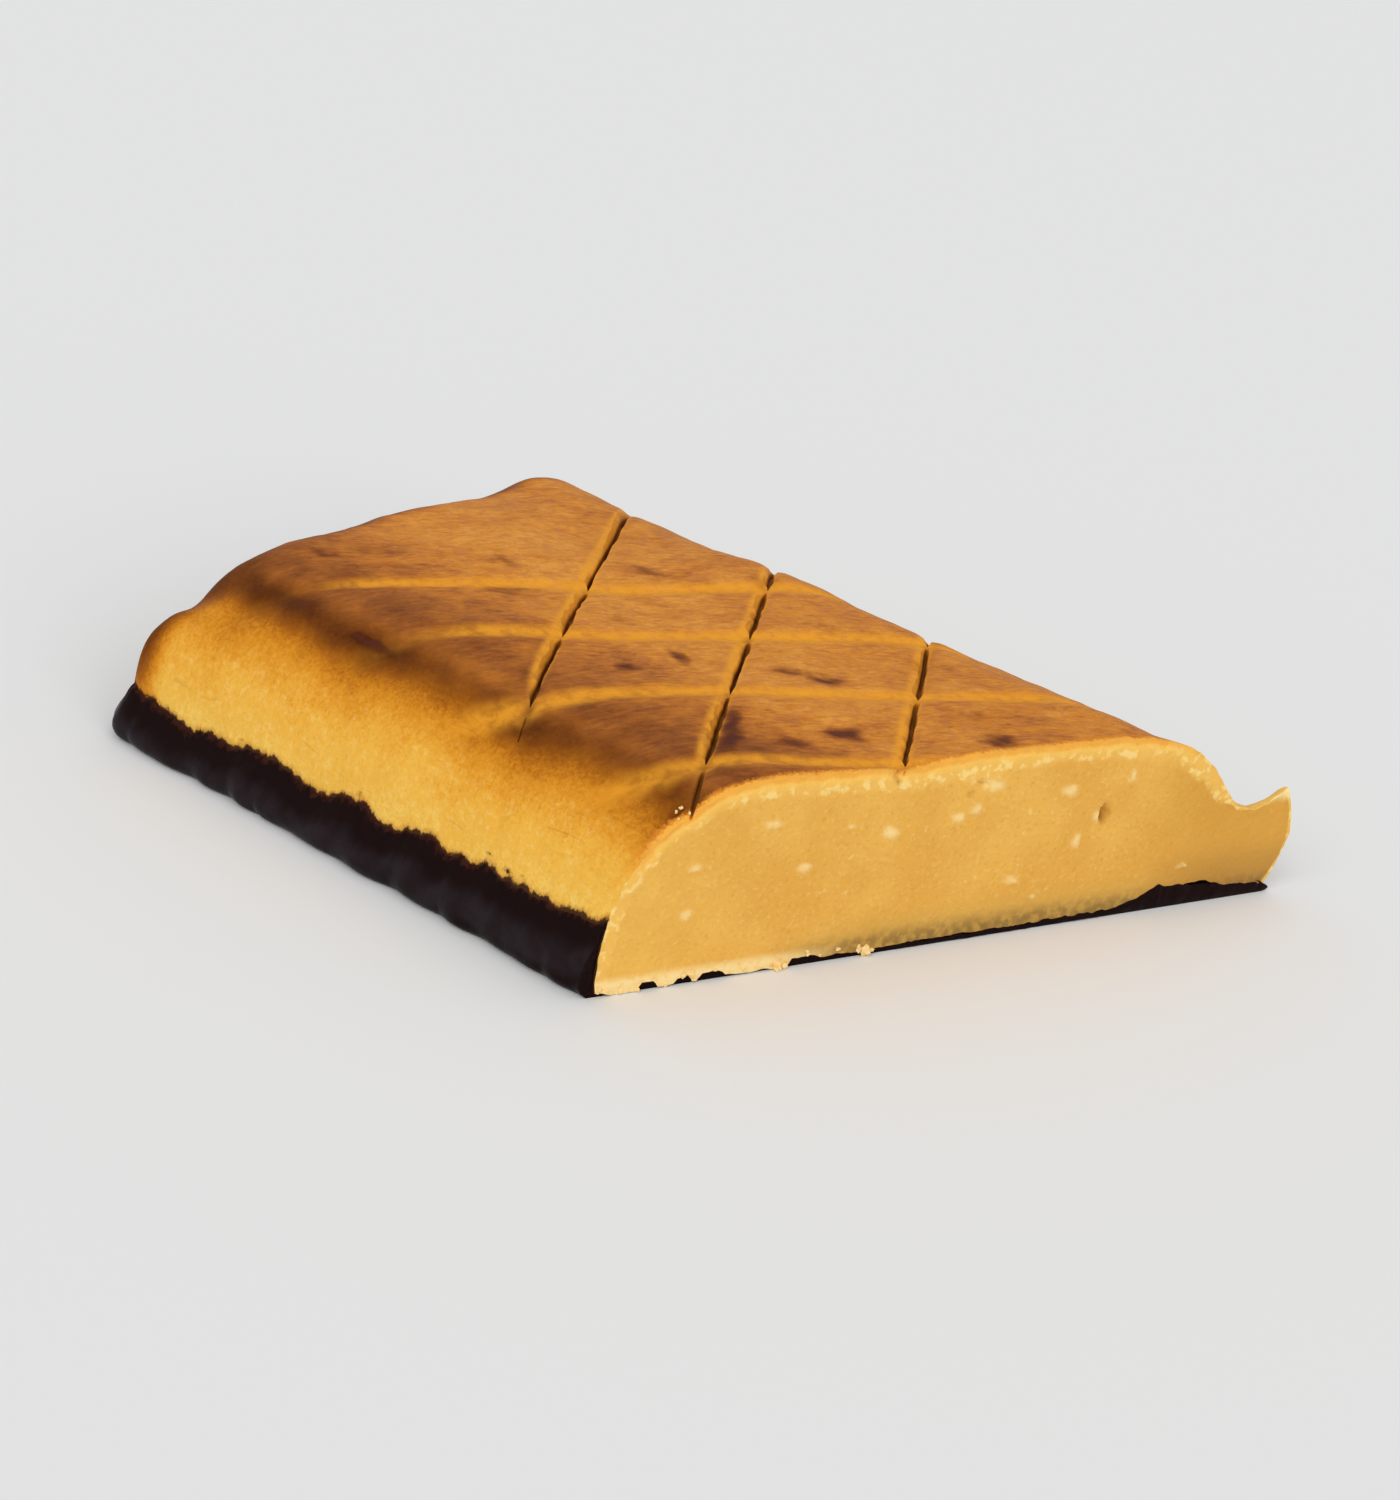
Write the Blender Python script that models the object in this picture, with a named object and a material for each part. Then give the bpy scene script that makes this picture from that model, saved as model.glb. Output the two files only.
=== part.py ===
"""Part of a flamed marzipan loaf, cut on the slant, standing in its coat of dark chocolate.

Two solids: the marzipan, with its scored top, whole end and flat cut, and the chocolate coat,
a shallow tray that covers the underside and the lower sides. Metres, +Z up. The loaf lies
along X with its whole end at -X and the cut at +X. The origin is at the middle of the
bounding box, on the surface that the loaf stands on.
"""
import math

import bmesh
import bpy
import numpy as np

MM = 0.001

# Driving dimensions
WIDTH = 66 * MM          # across the loaf at its foot, coat included
NEAR_LENGTH = 58.9 * MM  # from the whole end to the cut, along the near side
FAR_LENGTH = 86.9 * MM   # the same, along the far side
HEIGHT = 18.4 * MM       # from the surface it stands on to the flat top
END_X = -43.5 * MM       # outer face of the coat at the whole end
NEAR_Y = -33.4 * MM      # outer face of the coat at the near side

# The coat of chocolate
COAT_SIDE = 0.9 * MM     # from the coat's foot line to the marzipan's wall
COAT_FLOOR = 1.1 * MM    # from the ground to the marzipan's underside
GAP = 0.3 * MM           # left between the two solids
POOL_RISE = 1.7 * MM     # thicker chocolate under the far side
POOL_Y = 24.5 * MM
POOL_REACH = 6.5 * MM
PAST_CUT = 1.8 * MM      # how far the shape that hollows the coat runs on past the cut

# How each side of the marzipan rises: reach of the slope in plan, and two shape powers
NEAR_SIDE = {"reach": 15.5 * MM, "fullness": 2.1, "lift": 0.36}
FAR_SIDE = {"reach": 17.0 * MM, "fullness": 1.5, "lift": 0.60}
END_SIDE = {"reach": 7.0 * MM, "fullness": 2.0, "lift": 0.36}
HIP_SHARPNESS = 5.0      # how crisply the end and the long sides meet
CORNER_RADIUS = 2.6 * MM
CORNER_POWER = 3.0

# The hand-shaped top, in mm: waves as rise, length over 2 pi along X and along Y, and start;
# dents as x, y, reach and depth, which is below 0 for a bulge
WAVES = [(0.20, 5.1, 8.3, 0.6), (0.14, 2.9, -3.7, 2.1), (0.08, 7.7, -4.4, -1.3), (-0.08, 7.7, 4.4, 1.3)]
DENTS = [(-39.5, -26.5, 5.0, 2.3), (-40.3, -26.8, 1.8, 0.8), (-39.6, -23.2, 2.0, -0.9),
         (-38.0, 9.0, 7.5, 1.3), (-20.0, 19.0, 6.0, 0.5)]

# Lines of the mesh
NEAR_ROWS = 12
TOP_ROWS = 17
FAR_ROWS = 22
END_COLUMNS = 9
LENGTH_COLUMNS = 36
COLUMN_CROWDING = 1.35   # above 1, the columns lie closer together near the cut
CURVE_STEPS = 60         # points of a side's curve, where it is read between them

# Lip of marzipan dragged up at the far end of the cut, as insets from the wall and heights:
# its outer face from the foot over the tip to the hollow behind it, then up to the flat top
LIP_OUTER = [(-0.6, 1.1), (-1.5, 2.8), (-2.1, 4.9), (-2.1, 7.6), (-0.7, 11.5), (0.5, 10.4), (2.6, 9.4)]
LIP_INNER = [(2.6, 9.4), (4.6, 10.0), (6.2, 11.9), (7.7, 13.8), (10.6, 16.3), (15.0, 18.0)]
LIP_RUN = 3.0 * MM

# Scores: directions from +X, and where each line meets y = 0
DEEP_ANGLE = math.radians(-59.8)
DEEP_AT = [-15.5 * MM, 3.1 * MM, 21.6 * MM]
DEEP_FROM_Y = 21 * MM
DEEP_TO_Y = [-26.5 * MM, -28.0 * MM, -30.0 * MM]
DEEP_WIDTH = 1.0 * MM
DEEP_DEPTH = 1.2 * MM
PALE_ANGLE = math.radians(53.9)
PALE_AT = [-12.7 * MM, 0.9 * MM, 15.7 * MM, 31.1 * MM]
PALE_FROM_Y = -26 * MM
PALE_TO_Y = 19 * MM
PALE_WIDTH = 1.9 * MM
PALE_DEPTH = 0.45 * MM
SCORE_STEPS = 15
SCORE_CLEAR = 0.7 * MM   # how far a cutter reaches above the surface
SCORE_RUN_OUT = 0.09     # share of a score's length over which it comes up to the surface
SCORE_END_RISE = 0.05 * MM

# The coat's upper edge: its height above the ground
BAND_AT_END = 5.0 * MM
BAND_AT_NEAR_CUT = 7.1 * MM
BAND_FAR = 5.8 * MM
BAND_AT_LIP = 1.9 * MM
BAND_DROP_AT = 0.86      # share of the far side's length where the edge starts to sink to the lip
BAND_DROP_RUN = 0.10
BAND_RAGGED = 0.55 * MM
RAGGED_WAVES = [(0.55, 1.05, 0.0), (0.45, 0.62, 1.0), (0.6, 2.9, 0.5)]
SCALLOP = 0.25 * MM
SCALLOP_AT_EDGE = 0.25   # share of the scallop that is left at the foot and at the upper edge
SCALLOP_WAVES = [(0.6, 1.9, 0.0), (0.5, 1.15, 2.0), (0.5, 4.3, 1.0)]
# Rings of the coat's outer skin: share of the edge's height, and mm proud of the foot line
COAT_RINGS = [(0.0, -0.75), (0.06, -0.30), (0.16, 0.0), (0.33, 0.12), (0.55, 0.08), (0.75, -0.02),
              (0.92, -0.14), (1.0, -0.30)]
LID_INSET = 2.4 * MM
LID_RISE = 0.55 * MM
STATION_STEP = 1.3 * MM

# Worked out from the driving dimensions
FAR_Y = NEAR_Y + WIDTH
CUT_NEAR_X = END_X + NEAR_LENGTH
CUT_FAR_X = END_X + FAR_LENGTH
WALL_END = END_X + COAT_SIDE
WALL_NEAR = NEAR_Y + COAT_SIDE
WALL_FAR = FAR_Y - COAT_SIDE
MID_Y = (NEAR_Y + FAR_Y) / 2

# Finishes
MARZIPAN_COLOUR = (0.80, 0.50, 0.13, 1.0)
MARZIPAN_ROUGHNESS = 0.6
CHOCOLATE_COLOUR = (0.022, 0.012, 0.010, 1.0)
CHOCOLATE_ROUGHNESS = 0.3
SHARP_ANGLE = math.radians(40)

# Smallest share of the height and smallest length that a division is given
LEAST_SHARE = 1e-4
LEAST_LENGTH = 1e-9


def clear_scene():
    for thing in list(bpy.data.objects):
        bpy.data.objects.remove(thing, do_unlink=True)


def finish(name, colour, roughness):
    """A plain Principled material."""
    material = bpy.data.materials.new(name)
    material.use_nodes = True
    shader = material.node_tree.nodes["Principled BSDF"]
    shader.inputs["Base Color"].default_value = colour
    shader.inputs["Roughness"].default_value = roughness
    return material


def smooth_step(value):
    """0 up to 0, 1 from 1, and 3t^2 - 2t^3 between."""
    t = np.clip(value, 0.0, 1.0)
    return t * t * (3 - 2 * t)


def cut_x(y):
    """X of the slanted cut at a given Y."""
    return CUT_NEAR_X + (CUT_FAR_X - CUT_NEAR_X) * (y - NEAR_Y) / WIDTH


def side_curve(side, steps):
    """Inset from the wall and share of the height, from the foot of a side up to the flat top."""
    angle = np.linspace(0, math.pi / 2, steps)
    inset = side["reach"] * (1 - np.cos(angle).clip(0) ** (2 / side["fullness"]))
    share = np.sin(angle) ** (2 * side["lift"])
    return inset, share


def side_inset(side, z):
    """Inset of a side from its wall at height z: the same curve, read the other way."""
    share = np.clip((z - COAT_FLOOR) / (HEIGHT - COAT_FLOOR), 0, 1)
    sine_squared = share ** (1 / side["lift"])
    return side["reach"] * (1 - (1 - sine_squared) ** (1 / side["fullness"]))


def meet(a, b):
    """The lower of two shares of the height, with a rounded hip where they are equal."""
    a = np.maximum(a, LEAST_SHARE)
    b = np.maximum(b, LEAST_SHARE)
    return (a ** -HIP_SHARPNESS + b ** -HIP_SHARPNESS - 1) ** (-1 / HIP_SHARPNESS)


def round_corners(x, y):
    """Pulls the two corners of the whole end in, onto a squared-off round."""
    from_end = np.maximum(WALL_END + CORNER_RADIUS - x, 0)
    from_near = np.maximum(WALL_NEAR + CORNER_RADIUS - y, 0)
    from_far = np.maximum(y - WALL_FAR + CORNER_RADIUS, 0)
    from_side = np.maximum(from_near, from_far)
    total = (from_end ** CORNER_POWER + from_side ** CORNER_POWER) ** (1 / CORNER_POWER)
    scale = np.maximum(from_end, from_side) / np.maximum(total, LEAST_LENGTH)
    pull = 1 - np.where((from_end > 0) & (from_side > 0), scale, 1.0)
    sign = np.where(from_far > from_near, -1.0, 1.0)
    return x + from_end * pull, y + sign * from_side * pull


def relief(x, y):
    """The hand-shaped top: a few long, low waves, and dents pressed into it."""
    x, y = x / MM, y / MM
    height = 0.0
    for rise, long_x, long_y, start in WAVES:
        height = height + rise * np.sin(x / long_x + y / long_y + start)
    for at_x, at_y, reach, depth in DENTS:
        height = height - depth * np.exp(-((x - at_x) ** 2 + (y - at_y) ** 2) / reach ** 2)
    return height * MM


def floor_height(y):
    """Underside of the marzipan, raised where the chocolate under it lies thicker."""
    near_pool = np.clip(1 - np.abs(y - POOL_Y) / POOL_REACH, 0, 1)
    return COAT_FLOOR + POOL_RISE * smooth_step(near_pool)


def lip_shape(far_inset):
    """Y and Z of the far side at the cut, for the rows that have these insets elsewhere."""
    outer = np.array(LIP_OUTER) * MM
    inner = np.array(LIP_INNER) * MM
    hollow = inner[0, 0]
    along = np.sqrt(far_inset / hollow)
    corners = np.linspace(0, 1, len(outer))
    inset = np.where(along < 1, np.interp(along, corners, outer[:, 0]), far_inset)
    height = np.interp(along, corners, outer[:, 1])
    height = np.where(along < 1, height, np.interp(far_inset, inner[:, 0], inner[:, 1]))
    return WALL_FAR - inset, height


def top_surface(grow=0.0):
    """X, Y and Z of the outer surface, on a grid of columns along the loaf and rows across it.

    grow moves it outwards, and past the cut, for the hollow of the coat.
    """
    near_inset, near_share = side_curve(NEAR_SIDE, NEAR_ROWS)
    far_inset, far_share = side_curve(FAR_SIDE, FAR_ROWS)
    end_inset, end_share = side_curve(END_SIDE, END_COLUMNS)
    near_y = WALL_NEAR + near_inset
    far_y = (WALL_FAR - far_inset)[::-1]
    top_y = np.linspace(near_y[-1], far_y[0], TOP_ROWS)[1:-1]
    row_y = np.concatenate([near_y, top_y, far_y])
    row_share = np.concatenate([near_share, np.ones(len(top_y)), far_share[::-1]])
    start_x = WALL_END + end_inset[-1]
    along = 1 - np.linspace(1, 0, LENGTH_COLUMNS)[1:] ** COLUMN_CROWDING
    end_part = np.repeat((WALL_END + end_inset)[:, None], len(row_y), axis=1)
    run = np.concatenate([np.zeros(END_COLUMNS), along])[:, None]

    # The far rows turn into the lip as they come up to the cut
    lip_y, lip_z = lip_shape(far_inset)
    y = np.repeat(row_y[None, :], END_COLUMNS + len(along), axis=0)
    plain_x = start_x + (cut_x(y) - start_x) * run
    weight = smooth_step(1 - (cut_x(y) - plain_x) / LIP_RUN) * (run > 0)
    far = slice(len(row_y) - FAR_ROWS, len(row_y))
    y[:, far] += (lip_y[::-1] - y[:, far]) * weight[:, far]
    x = start_x + (cut_x(y) - start_x) * run
    x[:END_COLUMNS] = end_part

    column_share = np.concatenate([end_share, np.ones(len(along))])[:, None]
    share = meet(row_share[None, :], column_share)
    share[0, :] = 0
    share[:, 0] = 0
    share[:, -1] = 0
    z = COAT_FLOOR + (HEIGHT - COAT_FLOOR) * share + relief(x, y) * share ** 2
    z[:, far] += (lip_z[::-1] - z[:, far]) * weight[:, far]

    x, y = round_corners(x, y)
    if grow:
        x = x + np.where(run == 1, PAST_CUT, np.where(run > 0, 0.0, -grow))
        y = y + grow * np.sign(y - MID_Y)
        z = z + grow * np.where(share > 0, 1.0, -1.0)
    return x, y, z


def marzipan_body(name, grow=0.0):
    """The loaf as one closed body: the outer surface, the underside and the flat cut."""
    x, y, z = top_surface(grow)
    columns, rows = x.shape
    body = bmesh.new()
    grid = [[body.verts.new((x[i, j], y[i, j], z[i, j])) for j in range(rows)] for i in range(columns)]
    for i in range(columns - 1):
        for j in range(rows - 1):
            body.faces.new((grid[i][j], grid[i + 1][j], grid[i + 1][j + 1], grid[i][j + 1]))

    # Foot of the cut: one point for each of the rows that the underside needs
    foot_y = np.linspace(y[-1, 0], y[-1, -1], TOP_ROWS + 1)[1:-1]
    foot_x = cut_x(foot_y) + (PAST_CUT if grow else 0.0)
    foot = [body.verts.new((a, b, floor_height(b) - grow)) for a, b in zip(foot_x, foot_y)]
    body.faces.new([grid[-1][j] for j in range(rows)] + foot[::-1])

    # The underside runs in strips from the foot of the cut to a matching line near the whole end
    inner = [body.verts.new((WALL_END + CORNER_RADIUS, b, floor_height(b) - grow)) for b in foot_y]
    for k in range(len(foot) - 1):
        body.faces.new((foot[k], inner[k], inner[k + 1], foot[k + 1]))
    body.faces.new([grid[i][0] for i in range(columns)] + [foot[0], inner[0]])
    body.faces.new([grid[i][-1] for i in range(columns)] + [foot[-1], inner[-1]])
    body.faces.new([grid[0][j] for j in range(rows)] + inner[::-1])
    bmesh.ops.recalc_face_normals(body, faces=body.faces)
    bmesh.ops.triangulate(body, faces=body.faces, quad_method="BEAUTY", ngon_method="BEAUTY")
    return object_from(body, name)


def object_from(body, name):
    """Puts a bmesh into the scene as a named object."""
    mesh = bpy.data.meshes.new(name)
    body.to_mesh(mesh)
    body.free()
    thing = bpy.data.objects.new(name, mesh)
    bpy.context.collection.objects.link(thing)
    return thing


def top_height(x, y):
    """Height of the flat top and its shoulders at a point in plan, for placing the scores."""
    inset, share = side_curve(NEAR_SIDE, CURVE_STEPS)
    near = np.interp(y - WALL_NEAR, inset, share)
    inset, share = side_curve(FAR_SIDE, CURVE_STEPS)
    far = np.interp(WALL_FAR - y, inset, share)
    share = meet(near, far)
    return COAT_FLOOR + (HEIGHT - COAT_FLOOR) * share + relief(x, y) * share ** 2


def score_cutter(name, at_x, angle, from_y, to_y, width, depth):
    """A V-shaped strip that follows the top along a straight line in plan and runs out at its ends."""
    t = np.linspace(0, 1, SCORE_STEPS)
    y = from_y + (to_y - from_y) * t
    x = at_x + y / math.tan(angle)
    surface = top_height(x, y)
    fade = np.minimum(1, np.minimum(t, 1 - t) / SCORE_RUN_OUT)
    low = surface - depth * fade + SCORE_END_RISE * (1 - fade)
    high = surface + SCORE_CLEAR
    spread = width / 2 * (SCORE_CLEAR + depth) / depth
    across = np.array([-math.sin(angle), math.cos(angle)]) * spread
    body = bmesh.new()
    rings = []
    for k in range(SCORE_STEPS):
        left = body.verts.new((x[k] - across[0], y[k] - across[1], high[k]))
        right = body.verts.new((x[k] + across[0], y[k] + across[1], high[k]))
        rings.append((left, body.verts.new((x[k], y[k], low[k])), right))
    for a, b in zip(rings[:-1], rings[1:]):
        for k in range(3):
            body.faces.new((a[k], a[(k + 1) % 3], b[(k + 1) % 3], b[k]))
    body.faces.new(rings[0])
    body.faces.new(rings[-1][::-1])
    bmesh.ops.recalc_face_normals(body, faces=body.faces)
    return hide(object_from(body, name))


def hide(cutter):
    """Marks a cutter as no part of the loaf."""
    cutter.hide_render = True
    cutter.display_type = "WIRE"
    return cutter


def cut_away(thing, cutter, name):
    """Takes the cutter's shape out of a solid and removes the cutter."""
    step = thing.modifiers.new(name, "BOOLEAN")
    step.operation = "DIFFERENCE"
    step.object = cutter
    depsgraph = bpy.context.evaluated_depsgraph_get()
    result = bpy.data.meshes.new_from_object(thing.evaluated_get(depsgraph))
    thing.modifiers.clear()
    thing.data = result
    bpy.data.objects.remove(cutter, do_unlink=True)


def make_marzipan():
    """The loaf with its pale and deep scores cut in."""
    loaf = marzipan_body("marzipan")
    for k, at_x in enumerate(PALE_AT):
        to_y = min(PALE_TO_Y, (CUT_FAR_X - at_x) * math.tan(PALE_ANGLE))
        cutter = score_cutter("pale_score", at_x, PALE_ANGLE, PALE_FROM_Y, to_y, PALE_WIDTH, PALE_DEPTH)
        cut_away(loaf, cutter, "pale")
    for at_x, to_y in zip(DEEP_AT, DEEP_TO_Y):
        cutter = score_cutter("deep_score", at_x, DEEP_ANGLE, DEEP_FROM_Y, to_y, DEEP_WIDTH, DEEP_DEPTH)
        cut_away(loaf, cutter, "deep")
    loaf.data.materials.clear()
    loaf.data.materials.append(finish("marzipan", MARZIPAN_COLOUR, MARZIPAN_ROUGHNESS))
    loaf.data.shade_smooth()
    loaf.data.set_sharp_from_angle(angle=SHARP_ANGLE)
    return loaf


def coat_outline():
    """Stations along the coat's foot line: near side from the cut, whole end, far side to the cut.

    Gives the side that each station is on, and its share of the way along it: from the whole
    end to the cut on the long sides, and from the near side to the far one on the end.
    """
    near = np.linspace(1, 0, int(NEAR_LENGTH / STATION_STEP))
    end = np.linspace(0, 1, int(WIDTH / STATION_STEP))
    far = np.linspace(0, 1, int(FAR_LENGTH / STATION_STEP))
    stations = [("near", t) for t in near[:-1]]
    stations += [("end", t) for t in end]
    stations += [("far", t) for t in far[1:]]
    return stations


def ripple(waves, s):
    """Sum of waves at a distance s, each given as share, length over 2 pi in mm, and start."""
    return sum(share * math.sin(s / MM / long + start) for share, long, start in waves)


def band_height(side, t, s):
    """Height of the coat's upper edge: a slow rise towards the near cut, and a ragged line."""
    ragged = ripple(RAGGED_WAVES, s)
    if side == "near":
        level = BAND_AT_END + (BAND_AT_NEAR_CUT - BAND_AT_END) * t
    elif side == "end":
        level = BAND_AT_END + (BAND_FAR - BAND_AT_END) * t
    else:
        drop = float(smooth_step((t - BAND_DROP_AT) / BAND_DROP_RUN))
        level = BAND_FAR + (BAND_AT_LIP - BAND_FAR) * drop
        ragged *= 1 - drop
    return level + BAND_RAGGED * ragged


def scallop(s):
    """How far the set chocolate stands proud of its foot line at a distance s along the side."""
    return SCALLOP * ripple(SCALLOP_WAVES, s)


def coat_block():
    """The coat before it is hollowed: its outer skin, ring above ring, and a rough lid."""
    stations = coat_outline()
    rings = []
    lid = (1.0, -LID_INSET / MM, LID_RISE)
    for share, proud, rise in [(share, proud, 0.0) for share, proud in COAT_RINGS] + [lid]:
        ring = []
        s = 0.0
        for side, t in stations:
            z = share * band_height(side, t, s) + rise
            waist = SCALLOP_AT_EDGE + (1 - SCALLOP_AT_EDGE) * math.sin(math.pi * share)
            out = proud * MM + COAT_SIDE + scallop(s) * waist
            near_y = WALL_NEAR + float(side_inset(NEAR_SIDE, z)) - out
            far_y = WALL_FAR - float(side_inset(FAR_SIDE, z)) + out
            end_x = WALL_END + float(side_inset(END_SIDE, z)) - out
            if side == "near":
                x, y = end_x + (float(cut_x(near_y)) - end_x) * t, near_y
            elif side == "end":
                x, y = end_x, near_y + (far_y - near_y) * t
            else:
                x, y = end_x + (float(cut_x(far_y)) - end_x) * t, far_y
            x, y = round_corners(np.array(x), np.array(y))
            ring.append((float(x), float(y), z))
            s += STATION_STEP
        rings.append(ring)
    body = bmesh.new()
    loops = [[body.verts.new(point) for point in ring] for ring in rings]
    count = len(stations)
    for low, high in zip(loops[:-1], loops[1:]):
        for k in range(count):
            n = (k + 1) % count
            body.faces.new((low[k], low[n], high[n], high[k]))
    body.faces.new(loops[0])
    centre = body.verts.new(np.mean(rings[-1], axis=0))
    for k in range(count):
        body.faces.new((loops[-1][k], loops[-1][(k + 1) % count], centre))
    bmesh.ops.recalc_face_normals(body, faces=body.faces)
    return object_from(body, "chocolate_coat")


def make_coat():
    """The coat, hollowed by the marzipan's own shape with a small gap all round."""
    coat = coat_block()
    cut_away(coat, hide(marzipan_body("hollow", GAP)), "hollow")
    coat.data.materials.clear()
    coat.data.materials.append(finish("dark_chocolate", CHOCOLATE_COLOUR, CHOCOLATE_ROUGHNESS))
    coat.data.shade_smooth()
    coat.data.set_sharp_from_angle(angle=SHARP_ANGLE)
    return coat


def main():
    clear_scene()
    make_marzipan()
    make_coat()


main()
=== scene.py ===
"""Looks of a flamed marzipan loaf, cut on the slant, in its coat of dark chocolate.

Lengths are in millimetres and in the part's frame, and put_mesh scales them to metres. Where a
constant is a pair for ease, a change starts at its first value and is complete at its second.
"""
import math

import bmesh
import bpy
import numpy as np
from mathutils import Matrix, Vector


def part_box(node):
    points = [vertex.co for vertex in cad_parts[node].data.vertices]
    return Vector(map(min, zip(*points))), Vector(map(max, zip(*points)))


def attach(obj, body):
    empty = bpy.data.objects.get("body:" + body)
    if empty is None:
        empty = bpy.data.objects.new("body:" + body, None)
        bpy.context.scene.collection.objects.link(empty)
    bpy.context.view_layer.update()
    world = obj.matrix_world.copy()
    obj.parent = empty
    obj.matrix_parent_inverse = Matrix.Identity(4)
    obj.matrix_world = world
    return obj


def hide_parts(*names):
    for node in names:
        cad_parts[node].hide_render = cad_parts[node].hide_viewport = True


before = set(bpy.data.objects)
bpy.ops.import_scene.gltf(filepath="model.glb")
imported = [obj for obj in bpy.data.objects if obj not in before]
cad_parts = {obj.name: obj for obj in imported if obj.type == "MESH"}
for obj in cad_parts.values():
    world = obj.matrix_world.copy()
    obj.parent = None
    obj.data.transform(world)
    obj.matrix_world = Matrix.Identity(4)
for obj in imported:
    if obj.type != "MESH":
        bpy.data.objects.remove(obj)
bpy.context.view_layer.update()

MM = 0.001
BODY = "root"

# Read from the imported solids: the marzipan's walls and its underside
WALL_END, WALL_NEAR, COAT_FLOOR = [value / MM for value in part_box("marzipan")[0]]

# Driving sizes that the solids have too
WIDTH = 66.0
NEAR_LENGTH = 58.9
FAR_LENGTH = 86.9
HEIGHT = 18.4
COAT_SIDE = 0.9
NEAR_SIDE = {"reach": 15.5, "fullness": 2.1, "lift": 0.36}
FAR_SIDE = {"reach": 17.0, "fullness": 1.5, "lift": 0.6}
END_SIDE = {"reach": 7.0, "fullness": 2.0, "lift": 0.36}
HIP_SHARPNESS = 5.0
CORNER_RADIUS = 2.6
CORNER_POWER = 3.0
POOL_RISE = 1.7
POOL_Y = 24.5
POOL_REACH = 6.5

# Worked out from them
RISE = HEIGHT - COAT_FLOOR
END_X = WALL_END - COAT_SIDE
NEAR_Y = WALL_NEAR - COAT_SIDE
WALL_FAR = NEAR_Y + WIDTH - COAT_SIDE
CUT_NEAR_X = END_X + NEAR_LENGTH
CUT_SLANT = (FAR_LENGTH - NEAR_LENGTH) / WIDTH
CUT_LENGTH = math.hypot(WIDTH, FAR_LENGTH - NEAR_LENGTH)
CUT_OUT = np.array([WIDTH, NEAR_LENGTH - FAR_LENGTH, 0.0]) / CUT_LENGTH

# The hand-shaped top: waves as rise, length over 2 pi along X and Y, and start; dents as x, y,
# reach and depth, which is below 0 for a bulge
WAVES = [(0.2, 5.1, 8.3, 0.6), (0.14, 2.9, -3.7, 2.1), (0.08, 7.7, -4.4, -1.3), (-0.08, 7.7, 4.4, 1.3)]
DENTS = [
    (-39.5, -26.5, 5, 2.3), (-40.3, -26.8, 1.8, 0.8), (-39.6, -23.2, 2, -0.9), (-38, 9, 7.5, 1.3),
    (-20, 19, 6, 0.5)]
# Pits in the crust, given as the dents are
PITS = [
    (2.6, -31.2, 0.5, 0.25), (15.3, -25.4, 0.55, 0.5), (16.9, -26.6, 0.5, 0.45), (-19.3, -25, 0.7, 0.2)]

# The lip dragged up at the far end of the cut: insets from the wall and heights, from the foot
# over the tip to the hollow behind it, and from there up to the flat top
LIP_OUTER = [(-0.6, 1.1), (-1.5, 2.8), (-2.1, 4.9), (-2.1, 7.6), (-0.7, 11.5), (0.5, 10.4), (2.6, 9.4)]
LIP_TIP = 4
LIP_INNER = [(2.6, 9.4), (4.6, 10), (6.2, 11.9), (7.7, 13.8), (10.6, 16.3), (15, 18)]
LIP_RUN = 3.0

# Scores: direction from +X, where each line meets y = 0, and where it starts and stops. The
# deep ones hold a slit, and the pale ones are only pressed in
DEEP_ANGLE = math.radians(-59.8)
DEEP_AT = [-15.5, 3.1, 21.6]
DEEP_FROM_Y = 22.0
DEEP_TO_Y = [-27.0, -28.0, -30.0]
PALE_ANGLE = math.radians(53.9)
PALE_AT = [-12.7, 0.9, 15.7, 31.1]
PALE_FROM_Y = -27.0
PALE_TO_Y = 19.0
# Heights over which the sides turn into the scored top
PLATEAU = (11, 15)

# Half width and depth of a pale score and half width of its gold, how much it wanders and
# widens towards the near shoulder, and what each keeps of its gold in the dark band there
PALE_WIDE = 0.85
PALE_DEPTH = 0.34
PALE_GOLD = 1.3
PALE_WANDER = 0.22
PALE_SPREAD = 0.7
PALE_SPREAD_Y = (-21, -26)
PALE_IN_BAND = [0.25, 0.36, 0.88, 0.8]
PALE_BAND_Y = (-17, -24)
# The same of a deep score's pressed shoulders, which lie a little aside of its slit
SHOULDER_WIDE = 0.75
SHOULDER_DEPTH = 0.3
SHOULDER_ASIDE = 0.12
SHOULDER_GOLD = 0.82
SHOULDER_GOLD_ASIDE = 0.42
SHOULDER_BAND_Y = (-18, -24)

# Across a slit, from its left shoulder to its right one: place over its width, and height over
# its depth; the two ends stand clear above the crust
SLIT_PROFILE = [
    (-1.9, 1), (-1.4, 0.08), (-0.75, -0.2), (-0.44, -0.5), (-0.28, -1), (0.28, -1), (0.52, -0.4),
    (0.7, 0.05), (1, 1)]
SLIT_CLEAR = 0.9
SLIT_WIDE = 0.42
SLIT_DEEP = 1.00
# Shares of the width and depth that stay where it is shut, and the share of its length that
# each end takes to open
SLIT_SHUT_WIDE = 0.3
SLIT_SHUT_DEEP = 0.15
SLIT_END = 0.08
SLIT_STEPS = 230

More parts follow.
